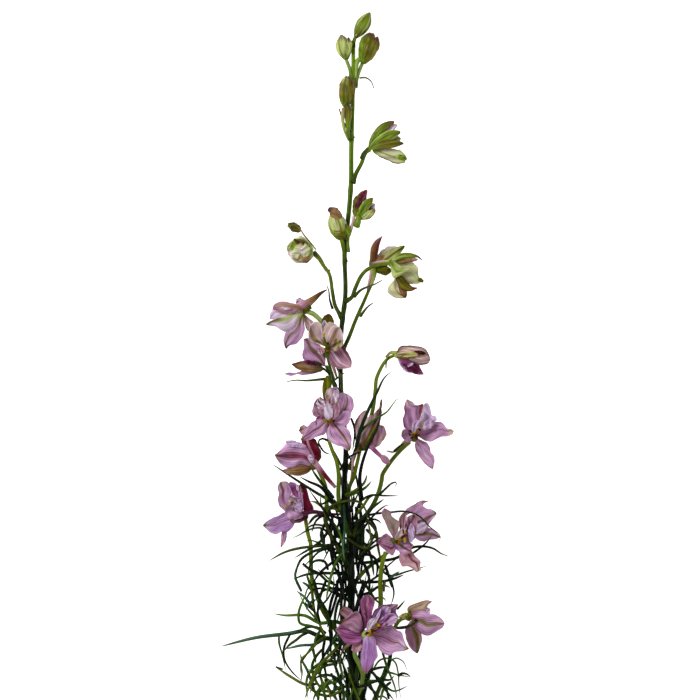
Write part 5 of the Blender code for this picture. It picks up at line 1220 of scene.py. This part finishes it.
def feather_leaf(number, threads):
    """One leaf from its threads: the colours, the radius at the foot and at the tip, and the line of each."""
    blades = [
        blade(line, start, end, colours, seed=k / THREAD_SEEDS + number / LEAF_SEEDS)
        for k, (colours, start, end, line) in enumerate(threads)
    ]
    fix(piece(f"feather_leaf_{number}", blades, leaf_skin), "leaf", f"leaf_{number}")


feather_leaf(1, [
    (BLUE, 1.4, 1, [(0, 30, 14.6), (-7, 29.6, 10), (-15, 31.2, 9), (-22.3, 34, 9), (-29.7, 32.8, 8),
        (-47.5, 30.4, 4), (-64.8, 26, 0.9)]),
    (DARK, 0.8, 0.4, [(-29.7, 33.1, 8), (-33.2, 25, 8.6), (-33, 20, 6.4), (-29, 13.1, 4.4), (-24, 8.5, 3.8)]),
    (DARK, 0.8, 0.4, [(-15, 31.2, 9), (-22, 22, 11), (-24.5, 18, 10.4), (-24.7, 12, 10)]),
    (GREEN, 0.7, 0.35, [(-35.7, 32.5, 6.6), (-35.6, 28, 6.6), (-34, 22, 6), (-32.3, 14, 4)]),
    (BLUE, 0.7, 0.35, [(-37.3, 15.9, 4), (-27.3, 9.1, 2.4), (-22.3, 7.5, 1.6)]),
    (DARK, 0.45, 0.3, [(-33.5, 14.5, 4), (-35.5, 15.3, 4.2), (-37.3, 15.9, 4)]),
])
feather_leaf(2, [
    (GREEN, 1.2, 0.8, [(0, 35, 16), (-7, 39, 20), (-15, 38.4, 20.4), (-22.5, 42, 19.4), (-33, 42.1, 16.6),
        (-38.3, 42.8, 14)]),
    (GREEN, 0.7, 0.35, [(-15, 38.4, 20.4), (-22, 46.5, 21.6), (-25.5, 53.5, 23)]),
    (DARK, 0.8, 0.4, [(-15, 38.4, 20.4), (-16, 45, 24.6), (-11, 51, 27), (-8, 58, 27.4), (-8.5, 63, 26.4)]),
])
feather_leaf(3, [
    (OLIVE, 1, 0.7, [(-0.5, 30, 14), (-4.5, 27.5, 18.6), (-11.2, 21.3, 20.6), (-15, 17.5, 19.6),
        (-20.5, 6, 17), (-22.8, 0, 14.4)]),
    (DARK, 0.8, 0.4, [(-8, 25, 18.6), (-7, 16, 22), (-4, 8, 21.6), (-2.5, 0, 20.4)]),
    (OLIVE, 0.7, 0.5, [(-12, 31.5, 18.6), (-15.5, 29.7, 21), (-17.5, 27.2, 22.4), (-21, 23.5, 22.4),
        (-24.3, 20.2, 20.6), (-24, 13, 18), (-24.8, 8, 15)]),
])
feather_leaf(4, [
    (DARK, 0.9, 0.4, [(0, 72, 22), (-8, 80, 24), (-14.5, 86, 24.6), (-21.7, 84.7, 26), (-26, 82.2, 25.6),
        (-28.8, 81.1, 25)]),
    (DARK, 1, 0.6, [(-5, 94, 22), (-8.5, 98, 20), (-18.5, 104.5, 16.6), (-23, 107.4, 17.6),
        (-38.8, 117.8, 20.4)]),
    (DARK, 0.8, 0.4, [(-14.5, 86, 24.6), (-13, 78, 29), (-19, 71, 30), (-24, 66, 27.6)]),
])
feather_leaf(5, [
    (BLACK, 1.1, 0.7, [(-3, 94, 23), (-9.5, 100.5, 21), (-15, 106.7, 23.4), (-20.5, 109.2, 26),
        (-25.1, 111.7, 28)]),
    (DARK, 0.7, 0.35, [(-9.5, 100.5, 21), (-14.5, 98, 23), (-17.5, 99.2, 23.6), (-19.7, 99.5, 23.6)]),
])
feather_leaf(6, [
    (DARK, 0.9, 0.5, [(2, 90, 24), (6, 100, 28), (10.5, 102.5, 30.4), (17, 102.3, 30.4),
        (24.3, 102.2, 29.8)]),
    (DARK, 0.8, 0.4, [(14.4, 102.5, 30.4), (18, 106, 31.4), (21.5, 108.8, 32), (23.2, 109, 32.6),
        (22.5, 106.7, 33)]),
    (BLACK, 1.2, 0.55, [(6, 100, 28), (5, 113, 35), (9, 127, 38), (13, 135, 38.6), (16, 144.5, 38.6)]),
])
feather_leaf(7, [
    (DARK, 0.8, 0.3, [(1, 88, 23), (9, 92.3, 25), (20, 93.8, 24), (27.3, 94.3, 24), (33.7, 92.5, 24.4),
        (40, 86.5, 25), (45.2, 81.3, 24.4), (43.9, 77.8, 23.6)]),
    (DARK, 0.8, 0.4, [(9, 92.3, 25), (13, 85, 22), (9, 77, 25.6), (4, 71, 28)]),
])
feather_leaf(8, [
    (DARK, 1, 0.7, [(1, 68, 20), (12, 69, 18), (24, 71.2, 17.6), (30.8, 76, 20), (42, 75.5, 20.6),
        (45.5, 73.2, 20), (49.4, 71.7, 19.4)]),
    (DARK, 0.8, 0.4, [(12, 69, 18), (20, 62, 16.8), (29, 64.2, 16.6), (38.5, 66.8, 18)]),
    (DARK, 0.8, 0.35, [(30.5, 72.5, 19.4), (38.5, 79, 22), (41, 82.2, 22.4)]),
    (DARK, 0.8, 0.4, [(8, 58, 17), (14, 62, 17), (19, 67, 17.4), (24, 71, 17.6)]),
])
feather_leaf(9, [
    (GREEN, 0.9, 0.35, [(1.5, 4, 8), (9, 9, 13.6), (14.5, 9.7, 16), (19, 18, 17.4), (23, 20.7, 17),
        (26.5, 19, 16), (28.8, 14, 15)]),
    (BLUE, 0.8, 0.4, [(14.5, 9.7, 16), (22, 4, 14), (29, 6.5, 12)]),
    (GREEN, 0.8, 0.4, [(14.5, 9.7, 16), (19, 13.7, 21), (24, 12.5, 22.6), (30, 11.5, 22.6)]),
    (DARK, 1, 0.3, [(24, 11.7, 22.6), (26, 13.3, 23.2), (28.5, 12.9, 23), (30.5, 11.3, 22.6)]),
])

# ------------------------ side threads
# Single leaf threads beside the middle flower stalks. Each is the last thread of a leaf that grows lower
# down and rises between the flowers.

SIDE_SEEDS = 15
# Colours, radius at the foot and at the tip, and line.
SIDE_THREADS = [
    (DARK, 1.3, 0.5, [(3, 126.5, 36), (5.5, 136, 37.6), (13.5, 154, 37.6), (17.7, 161.8, 35.6),
        (20.7, 164.2, 34)]),
    (GREEN, 0.9, 0.35, [(3.5, 130, 33), (6, 135, 35.6), (11.8, 140, 36.8), (19, 144.8, 36.6),
        (21.5, 148.2, 36), (23.8, 150.6, 35.4), (25.5, 150.3, 35)]),
    (DARK, 0.7, 0.35, [(-16, 128.5, 26), (-12.3, 123.7, 27), (-9.5, 122.7, 26.4)]),
    (DARK, 0.8, 0.35, [(0.5, 141, 30.6), (2, 137, 31.4), (1.3, 124, 29.6)]),
    (BLACK, 0.8, 0.4, [(-5, 115, 28.4), (-2, 120, 29.6), (2, 123, 31), (6, 124, 31.6)]),
    (DARK, 0.7, 0.35, [(23.5, 45.5, 30), (25.5, 47.7, 29), (27.5, 50, 28)]),
    (GREEN, 0.6, 0.3, [(12, 16, 24), (15, 20, 25.6), (18.5, 21, 26), (22, 19.5, 25), (24, 14, 22),
        (24.5, 7, 17), (25.5, 0, 12)]),
    (GREEN, 0.8, 0.35, [(16, 25, 24), (18, 18, 25.4), (22.5, 6, 20), (23.5, -0.5, 14)]),
    (DARK, 0.8, 0.35, [(19.5, 0, 12), (17.5, 7, 16), (13, 12, 20), (9, 14, 22)]),
    (BLUE, 0.8, 0.4, [(-11.5, 22.5, 16), (-8.5, 29, 20), (-5, 34, 22), (-2, 40, 24)]),
    (DARK, 0.7, 0.3, [(20.5, 60, 14), (22, 53, 16), (20.5, 47, 18)]),
    (BLACK, 0.7, 0.35, [(-8.5, 90, 26), (-9.5, 81, 28), (-8.5, 73, 28), (-5, 67, 26)]),
    (GREEN, 0.7, 0.3, [(-10, 94, 27), (-13.5, 96, 28.6), (-14.7, 99, 28.6), (-14.5, 103, 28)]),
]
side_threads = [
    blade(line, start, end, colours, seed=k / SIDE_SEEDS)
    for k, (colours, start, end, line) in enumerate(SIDE_THREADS)
]
fix(piece("side_threads", side_threads, leaf_skin), "leaf")

# ------------------------ lower leaf thicket
# Round the lower half of the stem the leaves are too many to tell apart: curling threads, nearly black
# against it and greener outside. The outer ones are set one by one; the rest spring from the stem by chance.

OUTER_RADII = (0.85, 0.68)
# Colours, height above the table at the foot and at the tip, and the thread's x and y in turn.
OUTER_THREADS = [
    (OLIVE, 22, 20, [-21.5, 62, -19.5, 56, -17.7, 44, -12, 31]),
    (GREEN, 19, 23, [-12, 30, -15, 35, -18.5, 36.5, -25.5, 39, -25.8, 41.5, -21.3, 55]),
    (BLUE, 21, 17, [-18, 44.5, -23, 51.5, -26.8, 54.3]),
    (BLUE, 20, 17, [-19.5, 55, -21.2, 57, -24, 58.8]),
    (BLUE, 17, 14, [-24.3, 54, -27.5, 62, -27, 66]),
    (DARK, 22, 18, [-17.5, 44, -21, 47, -24.5, 49]),
    (BLUE, 23, 21, [-17.5, 50, -20.5, 48, -22, 45]),
    (DARK, 24, 22, [-18, 60, -15, 50, -12.5, 46, -10.5, 41, -10, 34.5]),
    (DARK, 25, 22, [-12, 60, -15.5, 49.5, -16.5, 41]),
    (DARK, 23, 20, [-14.5, 49, -12, 45, -8.5, 32]),
    (GREEN, 20, 16, [-10.5, 35, -6, 22.5, -4.5, 15, -2.5, 8]),
    (DARK, 19, 15, [-12.5, 30.5, -13.5, 25, -11.5, 9]),
    (BLUE, 17, 11, [-12, 30.8, -18.5, 27.3, -23.5, 27, -32.5, 25]),
    (OLIVE, 14, 3, [-16, 8, -19.5, 7, -31.5, 12, -37.5, 15.8]),
    (BLUE, 16, 9, [-18, 5, -22, 15.5, -24.2, 19.5, -25, 22.5]),
    (GREEN, 18, 14, [-19, 27, -18, 22.5, -17, 18]),
    (GREEN, 19, 17, [-15, 34.5, -17, 31, -18, 27.5]),
    (MOSS, 12, 9, [-20.5, 33.5, -24, 32, -27, 29.5, -31, 26.5, -33, 24]),
    (DARK, 16, 12, [-12, 30.7, -20, 33.5, -25, 33.8]),
    (DARK, 17, 12, [-12, 33, -15.5, 35.5, -19, 36.3, -27, 33.7]),
    (GREEN, 18, 14, [-7, 18, -14, 16, -16.5, 13.5, -20, 3]),
    (DARK, 17, 15, [-4.5, 7, -7, 10.7, -15, 11.8, -18, 10]),
    (GREEN, 16, 14, [-12, -1, -13, 5, -11.5, 8.5, -8, 10]),
    (OLIVE, 14, 12, [-19.5, 9, -18, 4.5, -15.5, -0.5]),
    (GREEN, 15, 12, [-16, -1, -15.5, 5, -14, 8, -15, 10]),
    (GREEN, 15, 11, [-8, 18, -6, 12.5, -4.5, 7, 1, -4]),
    (DARK, 13, 10, [-3, 14, -1, 9, 1.5, 4, 3.5, -2]),
    (GREEN, 12, 9, [-12.5, 10, -11, 5.5, -8.5, 2, -5, -3]),
    (GREEN, 12, 9, [1, 6, -4.5, 6, -9.5, 3.5, -14, 4, -18, 1.5]),
    (OLIVE, 17, 13, [-5, 24, -9, 20.5, -12.5, 18, -15, 14, -14, 9, -11, 5, -9.5, -1]),
    (GREEN, 16, 12, [-6, 19, -14, 18.5, -21, 12, -21.5, 0]),
    (GREEN, 15, 12, [-2, 12, -6, 9, -10, 8, -17, 3, -19, -2]),
    (OLIVE, 14, 10, [-3, 5, -11, 1.5, -19, 4.5, -22, 8]),
    (BLUE, 13, 10, [-9.5, 13, -7.5, 8, -8, 3, -6, -2]),
    (GREEN, 17, 12, [-14, 25, -17, 21.5, -19, 17, -16.5, 8, -13.5, 4, -12.5, -2]),
    (DARK, 19, 17, [20.5, 23, 20, 19, 16.5, 10]),
    (DARK, 18, 20, [8, 14, 15, 16, 18.5, 16.5]),
    (DARK, 17, 15, [4, 16, 10.5, 14, 15.5, 7.5, 22, -0.5]),
    (DARK, 16, 18, [4, 6, 16.5, 9.8, 20.5, 10, 22, 12]),
    (DARK, 14, 12, [10, 13, 9, 8, 15, 1]),
    (GREEN, 13, 11, [20.5, 8.5, 17.5, 6, 15, -1.5]),
    (BLACK, 16, 15, [11.5, 22.5, 11.3, 18, 10, 13]),
    (TAN, 22, 20, [17.5, 60, 17, 57, 17, 53.5]),
    (BLACK, 24, 22, [2.5, 44.5, 5.5, 55, 7, 60]),
    (BLACK, 22, 20, [3.5, 52, 10.5, 54, 14, 56.5, 17.5, 57.2, 20, 56]),
    (DARK, 24, 22, [6, 60, 9.5, 55, 12, 51, 15, 48]),
    (DARK, 26, 24, [-8, 101, -16.5, 111.5, -19.5, 116]),
    (OLIVE, 27, 27, [-5, 94, -8.5, 96, -12, 95, -15, 97.5, -17.5, 99, -19.7, 99.5]),
    (OLIVE, 28, 31, [-2.5, 102.5, 1, 104, 7.5, 109.5, 8.5, 113]),
    (GREEN, 28, 30, [-2, 101.5, 8.5, 107, 10.7, 109.5]),
    (BLACK, 27, 28, [-0.5, 94, 1.5, 98.5, 2, 103]),
    (OLIVE, 27, 29, [3.5, 93, 6.5, 97, 10.5, 102, 12.8, 102.7]),
    (DARK, 28, 26, [2, 87, 13.5, 98, 17, 100.5]),
    (MOSS, 29, 27, [-8.5, 79.5, -12, 92, -10.5, 96, -7, 98, 6, 98, 8, 94.5, 9, 90]),
    (BLUE, 30, 28, [-3, 98, -2.7, 85, -3.5, 77.5, -2.8, 70]),
    (GREEN, 29, 27, [-11.5, 91, -8.5, 88.5, -4, 80, -3.5, 74]),
    (DARK, 26, 24, [-11.5, 90.5, -14.5, 82, -13.2, 78, -11.7, 72.5]),
    (DARK, 27, 22, [-8.5, 91.5, -12.5, 82, -27.5, 71]),
    (DARK, 25, 22, [-13, 93, -17.5, 91.7, -21, 87.5]),
    (MOSS, 26, 21, [-6, 78.2, -34.5, 73, -40.5, 69.5]),
    (MOSS, 28, 26, [-1.5, 81, 5.5, 76.5, 8.5, 76, 10.5, 78.5, 10, 84, 9, 89]),
    (MOSS, 26, 22, [8, 90.5, 12.7, 85, 14, 76.5, 15.5, 69]),
    (DARK, 26, 26, [8, 85.5, 10.5, 83, 13.8, 80.5]),
    (DARK, 27, 23, [7, 88, 5.3, 74.5, 3.5, 69]),
    (DARK, 26, 24, [6.5, 87, 4.5, 83.5, 3.8, 79.5]),
    (DARK, 25, 21, [7.5, 78.5, 10, 73, 12, 62]),
    (BLACK, 26, 22, [3, 72, 10.5, 72.3, 13, 70, 13.8, 66, 13, 61.5]),
    (BLACK, 25, 21, [2, 73, 6, 69.5, 8.5, 65, 10, 52]),
    (DARK, 26, 22, [-8, 77, -20.5, 73.2, -24.5, 70.2, -26.5, 66, -27.2, 61.5]),
    (DARK, 24, 22, [-11, 65, -12.5, 69, -18, 69.3, -20.3, 66.5]),
    (DARK, 22, 25, [-23.7, 68.2, -20.5, 65.5, -16, 63.5, -11.5, 59.5, -7, 57]),
    (DARK, 26, 20, [-5, 63.5, -22.5, 62.5, -28.5, 60.3]),
    (BLACK, 27, 24, [-2, 75, -7.5, 70, -16, 62.5, -18.5, 58.5]),
    (GREEN, 28, 25, [-1.5, 75.5, -5.5, 71.5, -9.5, 62, -12, 50]),
    (BLACK, 26, 24, [-10, 76.5, -8, 67, -5.5, 61.5, -4.5, 55]),
    (BLACK, 22, 20, [3, 58.5, 21, 60.2, 27, 62.5]),
    (BLUE, 20, 22, [19, 59.5, 21.5, 62, 24.8, 64.2]),
    (DARK, 20, 17, [17.5, 67.5, 19.5, 61.5, 20.8, 56]),
    (BLACK, 23, 19, [-4.5, 64, -7, 56, -9.5, 49, -10.5, 42, -10, 34.5, -9.5, 19.5]),
    (BLACK, 24, 20, [-6.5, 60, -6.5, 53, -8, 47.5, -11.5, 36]),
    (DARK, 22, 20, [-2, 56, -6.5, 47, -7, 36, -4.5, 31.5]),
]
# By chance: one row for each stretch of the stem, with its height, its threads and the share nearly black.
THICKET = [
    (-16, 8, 0.2), (-8, 8, 0.2), (0, 7, 0.2), (8, 6, 0.25), (16, 6, 0.3), (24, 6, 0.5), (32, 6, 0.7),
    (40, 7, 0.85), (48, 8, 0.9), (56, 8, 0.95), (64, 9, 0.95), (72, 10, 0.95), (80, 11, 0.95), (88, 9, 0.95),
    (96, 5, 0.95),
]
THICKET_SEED, THICKET_SIDES, THICKET_STEP, BENDS = 41, 5, 1.9, 7
# Ranges drawn from: place of the foot, length, radii, and the share by which a thread rises or falls. A slow
# sine lifts and lowers the thread by up to a millimetre.
UP_STEM, ASIDE, IN_DEPTH, LENGTHS = (-4, 4), (0, 6.5), (-7, 6), (18, 40)
FOOT_RADII, TIP_RADII, RISES, SINE_SPAN, SINE_STARTS = (0.6, 0.85), (0.4, 0.6), (-0.3, 0.3), 5, (0, 6)
# Chance of a thread that arches over, and the ranges of first headings from straight up and of turns.
ARCHING, ARCH_HEADING, ARCH_TURN = 0.16, (0.3, 0.9), (0.9, 1.9)
ALONG_HEADING, ALONG_TURN = 0.38, 0.8
THICKET_MIDDLE, THICKET_HALF = -2.0, 24.0
THICKET_LOW, THICKET_HIGH, THICKET_FOOT = 1.0, 33.0, -24.0
DARK_SETS, LIGHT_SETS = (BLACK, BLACK, DARK), (GREEN, OLIVE, DARK, BLUE)


def kept_in(points):
    """Points drawn back between the thicket's sides by a hyperbolic tangent, and between table and top."""
    points[:, 0] = THICKET_MIDDLE + THICKET_HALF * np.tanh((points[:, 0] - THICKET_MIDDLE) / THICKET_HALF)
    points[:, 1] = np.maximum(points[:, 1], THICKET_FOOT)
    points[:, 2] = np.clip(points[:, 2], THICKET_LOW, THICKET_HIGH)
    return points


def chance_thread(y, darkness):
    """One thread that springs from the stem near a height y: its heading turns evenly from bend to bend."""
    side = draw.choice([-1.0, 1.0])
    start = stem_at(y + draw.uniform(*UP_STEM)) + (side * draw.uniform(*ASIDE), 0, draw.uniform(*IN_DEPTH))
    if draw.random() < ARCHING:
        heading, bend = side * draw.uniform(*ARCH_HEADING), side * draw.uniform(*ARCH_TURN)
    else:
        heading, bend = draw.uniform(-1, 1) * ALONG_HEADING, draw.uniform(-1, 1) * ALONG_TURN
        heading += math.pi * (draw.random() < 0.5)
    length = draw.uniform(*LENGTHS)
    at = np.linspace(0, 1, BENDS)[1:, None]
    angle = heading + bend * at
    run = np.cumsum(np.hstack([np.sin(angle), np.cos(angle), np.full_like(at, draw.uniform(*RISES))]), axis=0)
    line = np.vstack([start, start + run * length / (BENDS - 1)])
    line[:, 2] += np.sin(np.linspace(0, SINE_SPAN, BENDS) + draw.uniform(*SINE_STARTS))
    sets = DARK_SETS if draw.random() < darkness else LIGHT_SETS
    foot_radius, tip_radius = draw.uniform(*FOOT_RADII), draw.uniform(*TIP_RADII)
    colours = sets[int(draw.integers(len(sets)))]
    return blade(kept_in(line), foot_radius, tip_radius, colours, draw.random(), THICKET_STEP, THICKET_SIDES)


draw = np.random.default_rng(THICKET_SEED)
thicket = [
    blade(raised(line, low, high), *OUTER_RADII, colours, seed=k / len(OUTER_THREADS), sides=THICKET_SIDES)
    for k, (colours, low, high, line) in enumerate(OUTER_THREADS)
]
thicket += [chance_thread(y, darkness) for y, count, darkness in THICKET for _ in range(count)]
fix(piece("leaf_thicket", thicket, leaf_skin), "leaf")

# ------------------------ the table
# The stem lies on a plain white table top of satin board. A little light of its own keeps it as pale as a
# table in a bright room.

TABLE_HALF, TABLE_WHITE = 3.0, (0.92, 0.92, 0.92, 1)
TABLE_SKIN = {
    "Base Color": TABLE_WHITE, "Roughness": 0.7, "Emission Color": (1, 1, 1, 1), "Emission Strength": 0.9,
}

table_mesh = bpy.data.meshes.new("table_top")
corners = np.array([(-1, -1, 0), (1, -1, 0), (1, 1, 0), (-1, 1, 0)]) * TABLE_HALF
table_mesh.from_pydata(corners.tolist(), [], [(0, 1, 2, 3)])
table = bpy.data.objects.new("table_top", table_mesh)
bpy.context.scene.collection.objects.link(table)
table_paint = bpy.data.materials.new("table_white")
table_paint.use_nodes = True
set_inputs(table_paint.node_tree.nodes["Principled BSDF"], TABLE_SKIN)
table_mesh.materials.append(table_paint)

# ------------------------ light and camera
# Soft light: a pale room, one large lamp high on the left and a weaker one on the right. The camera hangs
# over the middle of the plant and looks straight down.

VIEW_CENTRE, VIEW_WIDTH = (0.0, 175.0, 24.0), 0.35
LENS, SENSOR = 400.0, 36.0
ROOM = {"Color": (1.0, 0.975, 0.9, 1.0), "Strength": 0.31}
# Name, place from the middle of the plant in metres, size and power.
LAMPS = [("key_lamp", (-0.7, 0.5, 1.0), 0.5, 13), ("fill_lamp", (0.8, -0.3, 1.1), 1.0, 3)]

world = bpy.data.worlds.new("pale_room")
world.use_nodes = True
set_inputs(world.node_tree.nodes["Background"], ROOM)
bpy.context.scene.world = world
aim = place(VIEW_CENTRE)
for name, offset, size, power in LAMPS:
    lamp = bpy.data.lights.new(name, "AREA")
    lamp.size, lamp.energy = size, power
    holder = bpy.data.objects.new(name, lamp)
    bpy.context.scene.collection.objects.link(holder)
    holder.location = aim + np.array(offset)
    x, y, z = -np.array(offset)
    holder.rotation_euler = (math.atan2(math.hypot(x, y), -z), 0, math.atan2(y, x) - math.pi / 2)

camera_data = bpy.data.cameras.new("camera")
camera_data.lens, camera_data.sensor_width = LENS, SENSOR
camera = bpy.data.objects.new("camera", camera_data)
camera.location = aim + np.array([0, 0, VIEW_WIDTH * LENS / SENSOR])
bpy.context.scene.collection.objects.link(camera)
bpy.context.scene.camera = camera
bpy.context.scene.view_settings.view_transform = "Standard"
